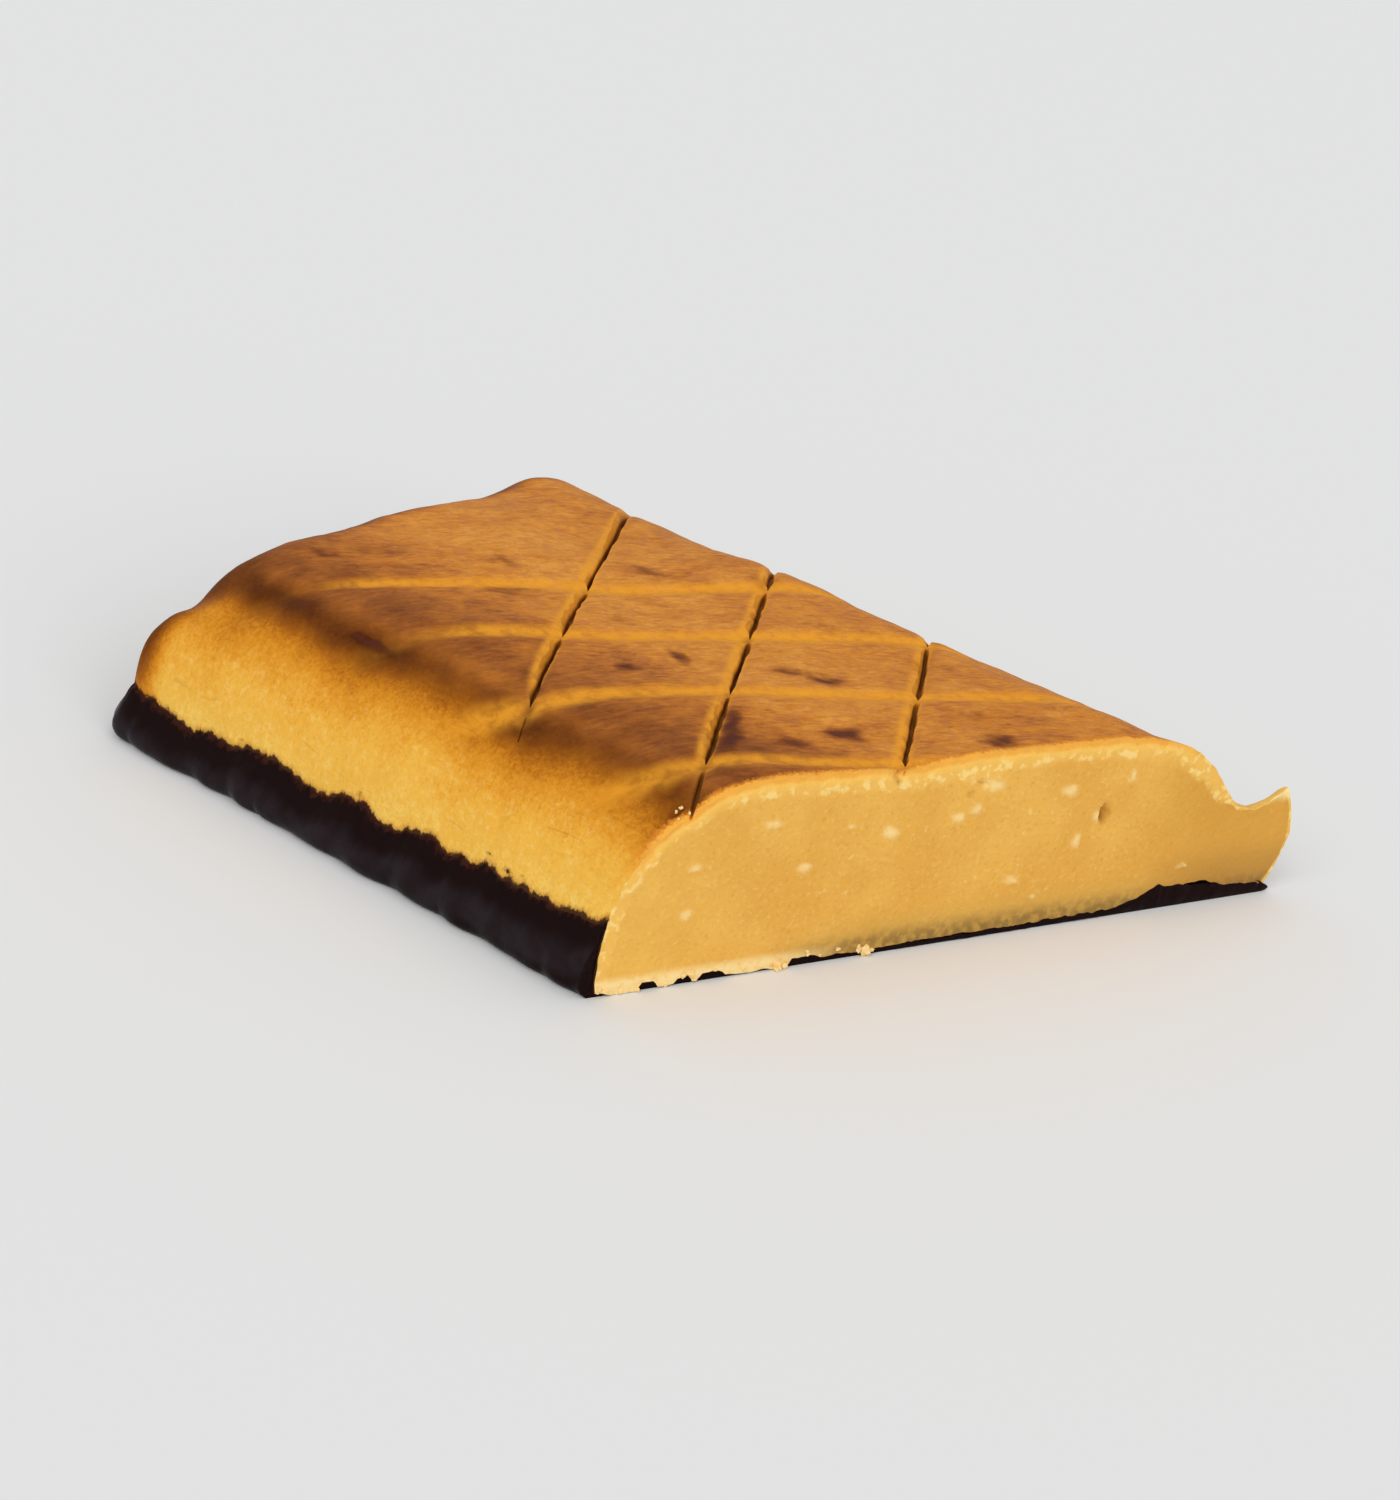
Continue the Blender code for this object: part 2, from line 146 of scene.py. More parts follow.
# Layers of patchwork, each as height, patch size and seed
CRUST_GRAIN = [(0.1, 5.5, 1), (0.055, 2.3, 2), (0.022, 0.9, 3)]
TORN_GRAIN = [(0.1, 0.8, 5), (0.06, 0.4, 6)]
CUT_GRAIN = [(0.035, 1.3, 61), (0.02, 0.6, 62)]
RIM_GRAIN = [(0.12, 0.9, 67), (0.07, 0.4, 68)]
FOOT_GRAIN = [(0.07, 0.6, 91), (0.05, 0.3, 92)]
BRISTLES = [(0.3, 0.9, 41), (0.14, 0.45, 42), (0.06, 0.26, 43)]
COAT_LINE_GRAIN = [(0.16, 1.2, 45), (0.12, 0.5, 46)]
COAT_CUT_GRAIN = [(0.05, 0.9, 47), (0.02, 0.4, 48)]

# The puffed near shoulder: its y, reach and unevenness
PUFF_Y = -25.0
PUFF_REACH = 3.2
PUFF = 0.18
# The crust's torn edge at the cut: its width, the heights over which it starts, and how far it
# falls back
TORN_WIDE = 0.9
TORN_Z = (4, 7)
TORN_BACK = 0.1

# Dark smears in the toasted top: x, y, half length, half width, direction in degrees and
# strength; all are spread by the same factor
SMEAR_SPREAD = 1.3
SMEARS = [
    (12.6, -14.4, 1.7, 0.8, -58, 1), (14.2, -16.8, 1.6, 0.8, -60, 0.9), (19.3, -7.3, 1.4, 0.9, 60, 1),
    (28.6, 3, 1.2, 0.9, 50, 1), (11.9, -0.2, 1.2, 0.8, 50, 0.95), (8.9, -1.3, 1.2, 0.7, 50, 0.7),
    (-0.2, -12.8, 0.9, 0.6, 60, 1), (1.2, -7.5, 1.3, 0.45, -25, 0.8), (-17.5, -9.3, 1.6, 1, 50, 0.7),
    (-12.6, 5.6, 2.2, 0.9, 35, 0.5), (17.5, -12.6, 1.4, 0.9, 50, 0.6), (-22.2, -5.4, 1.4, 0.8, 50, 0.5),
    (-31, -12.4, 1.8, 0.9, 40, 0.4), (-33.2, -17.4, 1.3, 0.6, 40, 0.7), (24.6, 5.4, 1.3, 0.8, 50, 0.5),
    (-7.6, -5.6, 1, 0.8, 50, 0.45), (-19, -25.2, 1.7, 0.35, 10, 1), (4.5, 9, 1.6, 0.7, 50, 0.35),
    (14.6, 11, 1.8, 0.8, 50, 0.4), (-5.5, 12.5, 1.6, 0.7, 40, 0.3), (17, -26.8, 0.9, 0.6, 60, 0.55)]

# Width of the cream rim of the cut, at s along it
RIM_WIDTH = [
    (0, 1.1), (6, 1.2), (12, 1.5), (20, 1.7), (28, 1.9), (34, 2.1), (36.5, 3.1), (39, 1.9), (46, 1.6),
    (54, 1.9), (60, 1.9), (63, 1.3), (65, 0.4), (68, 0.15), (70.5, 0.3)]

# Toasting up the near side: arc length from its foot, and tone from 0, pale, to 1, dark brown
NEAR_TOAST = [
    (0, 0.05), (7, 0.12), (10, 0.23), (12, 0.34), (14, 0.48), (15.5, 0.63), (16.8, 0.8), (18, 0.94),
    (18.9, 0.96), (20, 0.86), (21.5, 0.76), (23.5, 0.68), (27, 0.62), (60, 0.6)]
# How its dark band lies along it: x, how much lower it lies, and its darkest tone
BAND_ALONG = [
    (-44, -0.4, 1.04), (-38, -0.3, 1.04), (-33, 0.5, 1.03), (-29, 0.5, 1), (-22.5, 0.8, 1),
    (-17.5, 0.5, 1.05), (-12.5, -0.2, 0.92), (-7.5, -0.3, 0.84), (0, 0.9, 0.97), (7.5, -0.7, 0.86),
    (12.5, -0.3, 0.87), (20, 0.4, 0.95)]
TOP_TOAST = 0.6
BAND_TOAST = 0.96
# Toasting up the whole end and the far side
END_TOAST = [
    (0, 0.2), (3, 0.38), (6, 0.74), (9, 0.92), (14, 0.96), (18, 0.88), (21, 0.72), (24, 0.62),
    (40, 0.6)]
FAR_TOAST = [(0, 0.05), (6, 0.12), (10, 0.3), (14, 0.58), (18, 0.62), (22, 0.6), (40, 0.6)]

# Almond flecks in the cut: s along it, z, half length and half height; holes have a depth too
FLECKS = [
    (27.6, 11.9, 0.7, 0.5), (15.5, 14.1, 0.8, 0.3), (8.8, 11, 0.6, 0.4), (19.5, 9.7, 0.7, 0.3),
    (34.3, 12.5, 0.5, 0.5), (45.8, 13.8, 0.9, 0.6), (47.7, 8.5, 0.45, 0.65), (41.5, 5.4, 0.9, 0.3),
    (49.6, 10.9, 0.5, 0.6), (52.6, 14.4, 0.3, 0.6), (36, 13.2, 0.6, 0.5), (23.4, 13, 0.4, 0.2),
    (8.6, 6.6, 0.5, 0.3), (37.5, 15.2, 0.8, 0.6), (44.3, 3.6, 0.5, 0.2), (60.9, 4.2, 0.5, 0.2)]
FLECK_RISE = 0.09
HOLES = [
    (50.3, 10.9, 0.42, 0.85, 0.9), (36.1, 15.6, 0.5, 0.3, 0.25), (35.2, 14.8, 0.3, 0.3, 0.2),
    (27.2, 17.3, 0.2, 0.9, 0.55)]

# Foot of the marzipan at the cut, at s along it: notches where the chocolate shows, and
# tongues. Further on it runs out of sight, so far below the underside
FOOT_LINE = [
    (0, 0.35), (1.6, 0.45), (2.4, 0.1), (4.9, 0.06), (5.3, 0.78), (6.5, 0.8), (6.9, 0.12), (8.3, 0.16),
    (8.7, 0.72), (9.7, 0.74), (10.1, 0.22), (10.6, 0.26), (11, 0.8), (12.8, 0.84), (13.3, 0.26),
    (15.5, 0.16), (17.4, 0.3), (17.8, 0.04), (19.3, 0.06), (19.7, 0.86), (21.8, 0.92), (22.4, 0.48),
    (24, 0.62), (26, 0.5), (27, 0.3), (28.2, 0.55), (32, 0.6)]
FOOT_HIDES = (29, 32)
FOOT_LOW = 0.52
# Top of the chocolate that shows under the cut further on: thin, then a pool with a lump
COAT_SHOWS = [
    (0, 1.3), (22, 1.25), (27, 0.75), (34, 0.55), (40, 0.6), (46, 0.62), (50, 0.8), (54.5, 1.05),
    (56.3, 1.75), (58.3, 2.7), (60.2, 2.8), (61.4, 2.35), (62.6, 1.9), (66, 1.8), (69, 1.6),
    (70.6, 1.3), (72, 1)]

# The coat's sides, by the distance round it from the near end of the cut: where the share
# along each side is 0, and how far the distance goes from there
COAT_SIDES = {"near": (NEAR_LENGTH, -NEAR_LENGTH), "end": (NEAR_LENGTH, WIDTH),
              "far": (NEAR_LENGTH + WIDTH, FAR_LENGTH)}
# Its upper edge above the ground: x and z along the near side, then the far side's height,
# which drops at the lip; and its ragged line as share, length over 2 pi and start
NEAR_BAND = [
    (-42, 5.3), (-38, 4.7), (-35, 4.4), (-30, 4.6), (-27, 5), (-24, 5.7), (-21, 5.4), (-19, 4.9),
    (-16, 5.1), (-13.5, 6.1), (-11, 5.6), (-8, 5), (-6, 5.9), (-4, 6.6), (-2, 5.6), (0, 6), (5, 6.5),
    (8, 6), (12, 6.5), (15.4, 6.8)]
BAND_FAR = 5.8
BAND_AT_LIP = 1.3
BAND_DROP = (0.86, 0.96)
BAND_RAGGED = 0.45
RAGGED_WAVES = [(0.55, 1.05, 0), (0.45, 0.62, 1), (0.6, 2.9, 0.5)]
# Dark specks above it on the near side: x, z, half length and half height
SPECKS = [
    (2.7, 7.5, 0.55, 0.22), (4.9, 6.9, 0.75, 0.35), (6.6, 7.2, 0.35, 0.2), (-12.4, 6.7, 0.5, 0.3),
    (-27, 5.9, 0.4, 0.2)]
# Lobes along its foot, as how far they stand out and their length over pi, and slow waves
LOBES = 0.36
LOBE_LONG = 1.75
SCALLOP = 0.1
SCALLOP_WAVES = [(0.6, 1.9, 0), (0.5, 0.8, 2), (0.8, 4.3, 1)]
# Its outer skin: share of the edge's height, and mm proud of the foot line; shares over which
# the lobes die out; and how it bulges at the near corner
COAT_SKIN = [
    (0, -0.35), (0.06, 0.1), (0.16, 0.42), (0.3, 0.5), (0.5, 0.25), (0.72, -0.25), (0.92, -0.68),
    (1, -1)]
COAT_WAIST = (0.25, 0.85)
CORNER_BULGE = 0.15
CORNER_BULGE_RUN = 14.0
# Middle of the hidden lid, and lowest height of its inner line at the cut
COAT_HUB = (0, 0, 3)
COAT_INNER_LOW = 1.2

# Crumbs at the foot of the cut, as s along it and size, with the reach and sizes of the small
# ones; and those at the end of a score
BIG_CRUMBS = [
    (1.9, 0.34), (3.4, 0.26), (7.6, 0.3), (10.3, 0.26), (15, 0.28), (18.2, 0.52), (19, 0.36),
    (26.4, 0.34), (27.1, 0.46)]
SMALL_CRUMBS = 16
SMALL_SIZES = (0.12, 0.26)
SMALL_FROM, SMALL_REACH = 0.8, 27.0
RIM_CRUMBS = 5
RIM_SIZES = (0.09, 0.17)
RIM_CRUMBS_Y = -27.4
CRUMB_SEED = 5
CRUMB_RINGS, CRUMB_SIDES = 5, 8

# Lines of the meshes: the loaf's columns and rows, and the coat's step along and its rows
END_COLUMNS = 34
LENGTH_COLUMNS = 240
NEAR_ROWS = 80
TOP_ROWS = 106
FAR_ROWS = 72
FACE_ROWS = 54
COAT_STEP = 0.16
COAT_ROWS = 26
COAT_CUT_ROWS = 6
# Steps in which a side's curve is worked out, and in which it is read
CURVE_STEPS = 3000
READ_STEPS = 400
PATCHES = 256


def ease(value, start, end):
    """Smooth step 3t^2 - 2t^3, from 0 where a value is `start` to 1 where it is `end`."""
    t = np.clip((value - start) / (end - start), 0, 1)
    return t * t * (3 - 2 * t)


def between(value, low, high, soft):
    """1 between two values, falling to 0 over `soft` beyond each."""
    return ease(value, low - soft, low) * ease(value, high + soft, high)


def hill(u, v=0, power=1):
    """1 at the middle, falling as exp(-(u^2 + v^2)^power)."""
    return np.exp(-(u * u + v * v) ** power)


def ovals(u, v, table, power=1):
    """The hill of each oval in a table, given as its middle and its half axes."""
    return [hill((u - row[0]) / row[2], (v - row[1]) / row[3], power) for row in table]


def dents(x, y, table):
    """Sum of round dents, each given as x, y, reach and depth: depth exp(-(d / reach)^2)."""
    return sum(depth * hill((x - at_x) / reach, (y - at_y) / reach)
               for at_x, at_y, reach, depth in table)


def patchwork(x, y, size, seed):
    """Smooth random heights between -1 and 1.

    A seeded lattice of random numbers, `size` apart, is read between its points: the sum of
    the four nearest numbers, each times its two eased weights.
    """
    lattice = np.random.default_rng(seed).uniform(-1, 1, (PATCHES, PATCHES))
    a, b = np.asarray(x) / size, np.asarray(y) / size
    i, j = np.floor(a).astype(int), np.floor(b).astype(int)
    u, v = ease(a - i, 0, 1), ease(b - j, 0, 1)
    low, high = [lattice[i % PATCHES, row % PATCHES] * (1 - u)
                 + lattice[(i + 1) % PATCHES, row % PATCHES] * u for row in (j, j + 1)]
    return low * (1 - v) + high * v


def grain(x, y, layers):
    """Sum of patchworks, each given as height, patch size and seed."""
    return sum(height * patchwork(x, y, size, seed) for height, size, seed in layers)


def jostled(u, v, amount, size, seed):
    """Places moved about by two patchworks, so that what is read at them gets rough edges."""
    return (u + amount * patchwork(u, v, size, seed),
            v + amount * patchwork(u, v, size, seed + 1))


def ripple(waves, s):
    """Sum of sine waves at a distance s, each given as share, length over 2 pi, and start."""
    return sum(share * np.sin(s / long + start) for share, long, start in waves)


def through(t, knots, values):
    """Smooth curve through points: cubic pieces whose slopes are the neighbours' mean slopes."""
    slopes = np.gradient(values, knots)
    k = np.clip(np.searchsorted(knots, t, side="right") - 1, 0, len(knots) - 2)
    step = knots[k + 1] - knots[k]
    u = np.clip((t - knots[k]) / step, 0, 1)
    ends = (1 + 2 * u) * (1 - u) ** 2 * values[k] + u * u * (3 - 2 * u) * values[k + 1]
    return ends + step * (u * (1 - u) ** 2 * slopes[k] + u * u * (u - 1) * slopes[k + 1])


def cut_x(y):
    """X of the slanted cut at a given Y: a straight line in plan."""
    return CUT_NEAR_X + CUT_SLANT * (y - NEAR_Y)


def cut_s(y):
    """Distance s along the cut at a given Y, from the near side's foot line."""
    return (y - NEAR_Y) * CUT_LENGTH / WIDTH


def on_cut(y, z):
    """Points of the cut's plane."""
    return np.stack([cut_x(y), y, z], -1)


def side_curve(side, steps):
    """Inset, share of the rise and arc length up a side, at even steps of arc length.

    At an angle a from 0 to 90 degrees, inset = reach (1 - cos(a)^(2 / fullness)) and
    share = sin(a)^(2 lift).
    """
    angle = np.linspace(0, math.pi / 2, CURVE_STEPS)
    inset = side["reach"] * (1 - np.cos(angle).clip(0) ** (2 / side["fullness"]))
    share = np.sin(angle) ** (2 * side["lift"])
    arc = np.append(0, np.cumsum(np.hypot(np.diff(inset), RISE * np.diff(share))))
    even = np.linspace(0, arc[-1], steps)
    return np.interp(even, arc, inset), np.interp(even, arc, share), even


def side_inset(side, z):
    """Inset of a side from its wall at height z: the same curve, read the other way."""
    share = np.clip((z - COAT_FLOOR) / RISE, 0, 1)
    return side["reach"] * (1 - (1 - share ** (1 / side["lift"])) ** (1 / side["fullness"]))


def insets(x, y):
    """The near side, the far side and the whole end, each with the insets from its wall."""
    return (NEAR_SIDE, y - WALL_NEAR), (FAR_SIDE, WALL_FAR - y), (END_SIDE, x - WALL_END)


def climb(side, inset, z):
    """Arc length up a side from its foot, and on over the top.

    It is read from inset plus height, which grow together, and what the inset has beyond the
    side's reach is added.
    """
    inset_at, share_at, arc = side_curve(side, 2 * READ_STEPS)
    on_side = np.interp(inset + z - COAT_FLOOR, inset_at + RISE * share_at, arc)
    return on_side + np.maximum(inset - side["reach"], 0)


def meet(a, b):
    """The lower of two shares, with a rounded hip: (a^-p + b^-p - 1)^(-1/p)."""
    a, b = np.maximum(a, 1e-4), np.maximum(b, 1e-4)
    return (a ** -HIP_SHARPNESS + b ** -HIP_SHARPNESS - 1) ** (-1 / HIP_SHARPNESS)


def round_corners(x, y):
    """Pulls the whole end's two corners in, onto |dx|^p + |dy|^p = r^p."""
    from_end = np.maximum(WALL_END + CORNER_RADIUS - x, 0)
    from_near = np.maximum(WALL_NEAR + CORNER_RADIUS - y, 0)
    from_far = np.maximum(y - WALL_FAR + CORNER_RADIUS, 0)
    from_side = np.maximum(from_near, from_far)
    total = (from_end ** CORNER_POWER + from_side ** CORNER_POWER) ** (1 / CORNER_POWER)
    scale = np.maximum(from_end, from_side) / np.maximum(total, 1e-6)
    pull = 1 - np.where((from_end > 0) & (from_side > 0), scale, 1.0)
    sign = np.where(from_far > from_near, -1.0, 1.0)
    return x + from_end * pull, y + sign * from_side * pull


def floor_height(y):
    """Underside of the marzipan, eased up where the chocolate lies thicker."""
    return COAT_FLOOR + POOL_RISE * ease(np.abs(y - POOL_Y), POOL_REACH, 0)


def crust_height(x, y, share):
    """Height of the crust: floor + rise share + relief share^2.

    The relief is a sum of long, low sine waves, less the dents.
    """
    waves = [rise * np.sin(x / long_x + y / long_y + start) for rise, long_x, long_y, start in WAVES]
    return COAT_FLOOR + RISE * share + (sum(waves) - dents(x, y, DENTS)) * share ** 2


def top_height(x, y):
    """Height of the loaf's outside over a point in plan, away from the lip."""
    near, far, end = [np.interp(inset, *side_curve(side, READ_STEPS)[:2])
                      for side, inset in insets(x, y)]
    return crust_height(x, y, meet(meet(near, far), end))


def lip_shape(far_inset):
    """Y and Z of the far side at the cut, for rows that have these insets elsewhere.

    Up to the hollow a row follows LIP_OUTER by the root of its inset over the hollow's, in
    two smooth curves that meet in the sharp tip. Behind it, LIP_INNER by its inset.
    """
    outer, inner = np.array(LIP_OUTER), np.array(LIP_INNER)
    along = np.sqrt(far_inset / inner[0, 0])
    knots = np.linspace(0, 1, len(outer))
    rising, falling = [[through(along, knots[part], outer[part, k]) for k in (0, 1)]
                       for part in (slice(LIP_TIP + 1), slice(LIP_TIP, None))]
    inset, height = np.where(along < knots[LIP_TIP], rising, falling)
    behind = through(far_inset, *inner.T)
    return WALL_FAR - np.where(along < 1, inset, far_inset), np.where(along < 1, height, behind)


def crust_base():
    """X, Y and Z of the loaf's outside, on a grid of columns along it and rows across it.

    The share in crust_height is the meeting of the row's share and the column's. Near the
    cut the far rows ease into the lip over LIP_RUN.
    """
    near_inset, near_share = side_curve(NEAR_SIDE, NEAR_ROWS)[:2]
    far_inset, far_share = side_curve(FAR_SIDE, FAR_ROWS)[:2]
    end_inset, end_share = side_curve(END_SIDE, END_COLUMNS)[:2]
    near_y = WALL_NEAR + near_inset
    far_y = (WALL_FAR - far_inset)[::-1]
    top_y = np.linspace(near_y[-1], far_y[0], TOP_ROWS)[1:-1]
    row_y = np.concatenate([near_y, top_y, far_y])
    row_share = np.concatenate([near_share, np.ones(len(top_y)), far_share[::-1]])
    start_x = WALL_END + end_inset[-1]
    run = np.append(np.zeros(END_COLUMNS), np.linspace(0, 1, LENGTH_COLUMNS)[1:])[:, None]

    lip_y, lip_z = [part[::-1] for part in lip_shape(far_inset)]
    y = np.repeat(row_y[None, :], len(run), axis=0)
    weight = ease((cut_x(y) - start_x) * (1 - run), LIP_RUN, 0) * (run > 0)
    far = slice(-FAR_ROWS, None)
    y[:, far] += (lip_y - y[:, far]) * weight[:, far]
    x = start_x + (cut_x(y) - start_x) * run
    x[:END_COLUMNS] = (WALL_END + end_inset)[:, None]

    column_share = np.append(end_share, np.ones(LENGTH_COLUMNS - 1))[:, None]
    share = meet(row_share, column_share)
    share[0] = share[:, 0] = share[:, -1] = 0
    z = crust_height(x, y, share)
    z[:, far] += (lip_z - z[:, far]) * weight[:, far]
    return *round_corners(x, y), z


def line_distance(x, y, at_x, angle):
    """Distance in plan from a score's line, positive on its +X side."""
    across = (x - at_x) * math.sin(angle) - y * math.cos(angle)
    return across * math.copysign(1, math.sin(angle))


def pale_grooves(x, y, wide, in_band=(1, 1, 1, 1)):
    """Depth share, 0 to 1, of the pressed scores: exp(-(d / w)^2) of the distance d from each.

    The lines wander a little, w grows from `wide` towards the near shoulder, and in the dark
    band there each line's share falls to its number in `in_band`.
    """
    in_dark = ease(y, *PALE_BAND_Y)
    wide = wide + PALE_SPREAD * ease(y, *PALE_SPREAD_Y)
    shares = []
    for k, (at_x, left) in enumerate(zip(PALE_AT, in_band)):
        wander = PALE_WANDER * patchwork(x + 40 * k, y, 6.0, 31 + k)
        d = line_distance(x, y, at_x, PALE_ANGLE) + wander
        shares.append((1 - (1 - left) * in_dark) * hill(d / wide))
    return between(y, PALE_FROM_Y, PALE_TO_Y, 3) * np.max(shares, axis=0)


def deep_grooves(x, y, wide, aside):
    """Depth share, 0 to 1, beside the deep scores: exp(-((d + aside) / wide)^2)."""
    shares = []
    for at_x, to_y in zip(DEEP_AT, DEEP_TO_Y):
        d = line_distance(x, y, at_x, DEEP_ANGLE) + aside
        shares.append(between(y, to_y + 1.5, DEEP_FROM_Y - 1, 2) * hill(d / wide))
    return np.max(shares, axis=0)


def crust_surface():
    """The crust with its scores, puffed shoulder, grain and pits.

    The base grid is moved along its normals by patchworks of several sizes, less the
    grooves' depths. The move fades out towards the foot, and grows at the crumbled cut edge.
    """
    x, y, z = crust_base()
    grid = np.stack([x, y, z], -1)
    normal = np.cross(np.gradient(grid, axis=0), np.gradient(grid, axis=1))
    normal /= np.maximum(np.linalg.norm(normal, axis=-1, keepdims=True), 1e-9)
    across = y + 0.6 * z
    puffed = hill((y - PUFF_Y) / PUFF_REACH)
    move = grain(x, across, CRUST_GRAIN) + PUFF * puffed * patchwork(x, across, 4.0, 4)
    pressed = PALE_DEPTH * pale_grooves(x, y, PALE_WIDE)
    pressed += SHOULDER_DEPTH * deep_grooves(x, y, SHOULDER_WIDE, SHOULDER_ASIDE)
    move -= ease(z, *PLATEAU) * pressed + dents(x, y, PITS)
    at_edge = ease(cut_x(y) - x, TORN_WIDE, 0) * ease(z, *TORN_Z)
    move += at_edge * (grain(y, z, TORN_GRAIN) - TORN_BACK)
    move *= np.clip((z - COAT_FLOOR) / 2.0, 0, 1)
    return grid + move[..., None] * normal


def face_move(s, z, edge):
    """How far the cut stands out at s along it and height z, `edge` from its outline.

    Fine patchworks, stronger near the outline where the crust crumbled, with a low mound for
    each almond fleck and along the foot, and less a round hole for each of HOLES.
    """
    move = grain(s, z, CUT_GRAIN) + hill(edge / 1.1) * grain(s, z, RIM_GRAIN)
    move = move + 0.16 * ease(z, 1.5, 0.7) * ease(s, 34, 26)
    move = move + FLECK_RISE * sum(ovals(s, z, FLECKS))
    for hole, shape in zip(HOLES, ovals(s, z, HOLES, 2)):
        move = move - hole[-1] * shape
    return move


def face_grid(outline):
    """Points of the cut: P(k, t) = (1 - t) C(k) + t F(k), t crowded towards the outline C.

    F is the ragged foot line. It starts and ends in the outline's own ends.
    """
    y = outline[:, 1]
    share = np.maximum.accumulate(np.clip((y - y[0]) / (y[-1] - y[0]), 0, 1))
    share = 0.75 * share + 0.25 * np.linspace(0, 1, len(y))
    foot_y = y[0] + (y[-1] - y[0]) * share
    s = cut_s(foot_y)
    line = np.interp(s, *np.transpose(FOOT_LINE)) - COAT_FLOOR
    line = line - (FOOT_LOW + line) * ease(s, *FOOT_HIDES) + grain(s, 0, FOOT_GRAIN)
    foot = on_cut(foot_y, np.maximum(floor_height(foot_y) + line, 0.03))
    foot[0], foot[-1] = outline[0], outline[-1]
    t = np.linspace(0, 1, FACE_ROWS)[:, None] ** 1.2
    return outline[:, None] * (1 - t) + foot[:, None] * t


def bring_in(name, data):
    """A new object of a mesh, lamp or camera, in the scene."""
    thing = bpy.data.objects.new(name, data)
    bpy.context.collection.objects.link(thing)
    return thing


def put_mesh(name, points, groups, finishes=(), which=None):
    """A mesh object at the origin, from points in mm and groups of faces as corner numbers.

    `which` holds the number of each group's finish.
    """
    lists = [np.asarray(group).tolist() for group in groups]
    mesh = bpy.data.meshes.new(name)
    mesh.from_pydata((np.asarray(points) * MM).tolist(), [], sum(lists, []))
    for finish in finishes:
        mesh.materials.append(finish)
    if which is not None:
        slots = np.repeat(np.array(which, np.int32), [len(group) for group in lists])
        mesh.polygons.foreach_set("material_index", slots)
    mesh.update()
    return bring_in(name, mesh)


def turn_out(mesh):
    """Turns every face outward."""
    body = bmesh.new()
    body.from_mesh(mesh)
    bmesh.ops.recalc_face_normals(body, faces=body.faces)
    body.to_mesh(mesh)
    body.free()


def paint(mesh, name, values):
    """Keeps one number for each point of a mesh, for its material to read."""
    layer = mesh.attributes.new(name, "FLOAT", "POINT")
    layer.data.foreach_set("value", np.asarray(values, np.float32))


def smooth(mesh, degrees):
    """Shades a mesh smooth, except over edges sharper than an angle."""
    mesh.shade_smooth()
    mesh.set_sharp_from_angle(angle=math.radians(degrees))


def quads_of(at):
    """Corner numbers of the faces between neighbouring points of a grid."""
    return np.stack([at[:-1, :-1], at[1:, :-1], at[1:, 1:], at[:-1, 1:]], -1).reshape(-1, 4)


def fan(middle, line):
    """Corner numbers of the triangles between one point and each step of a line."""
    return np.stack([np.full(len(line) - 1, middle), line[:-1], line[1:]], -1)


def loaf_body(crust, cut):
    """The marzipan as one closed mesh, crust, cut and underside, and the cut's s and z outline."""
    grid = crust_surface()
    columns, rows = grid.shape[:2]
    face = face_grid(grid[-1])
    edge = np.linalg.norm(face - face[:, :1], axis=-1)
    face += face_move(cut_s(face[..., 1]), face[..., 2], edge)[..., None] * CUT_OUT
    grid[-1] = face[:, 0]
    foot_y = face[1:-1, -1, 1]
    inner_x = np.full(rows - 2, WALL_END + CORNER_RADIUS)
    inner = np.stack([inner_x, foot_y, floor_height(foot_y)], -1)

    crust_at = np.arange(columns * rows).reshape(columns, rows)
    face_at = crust_at.size + np.arange((rows - 2) * (FACE_ROWS - 1)).reshape(rows - 2, -1)
    inner_at = face_at[-1, -1] + 1 + np.arange(rows - 2)
    face_at = np.column_stack([crust_at[-1, 1:-1], face_at])
    foot_at = face_at[:, -1]
    points = np.concatenate([grid.reshape(-1, 3), face[1:-1, 1:].reshape(-1, 3), inner])

    groups = [quads_of(crust_at), quads_of(face_at)]
    groups += [fan(crust_at[-1, end], face_at[end]) for end in (0, -1)]
    groups.append(quads_of(np.column_stack([foot_at, inner_at])))
    groups += [[[*crust_at[:, end], foot_at[end], inner_at[end]]] for end in (0, -1)]
    groups.append([[*crust_at[0], *inner_at[::-1]]])
    which = [0, 1, 1, 1, 0, 0, 0, 0]
    loaf = put_mesh("marzipan_loaf", points, groups, [crust, cut], which)
    turn_out(loaf.data)
    return loaf, np.stack([cut_s(grid[-1, :, 1]), grid[-1, :, 2]], -1)


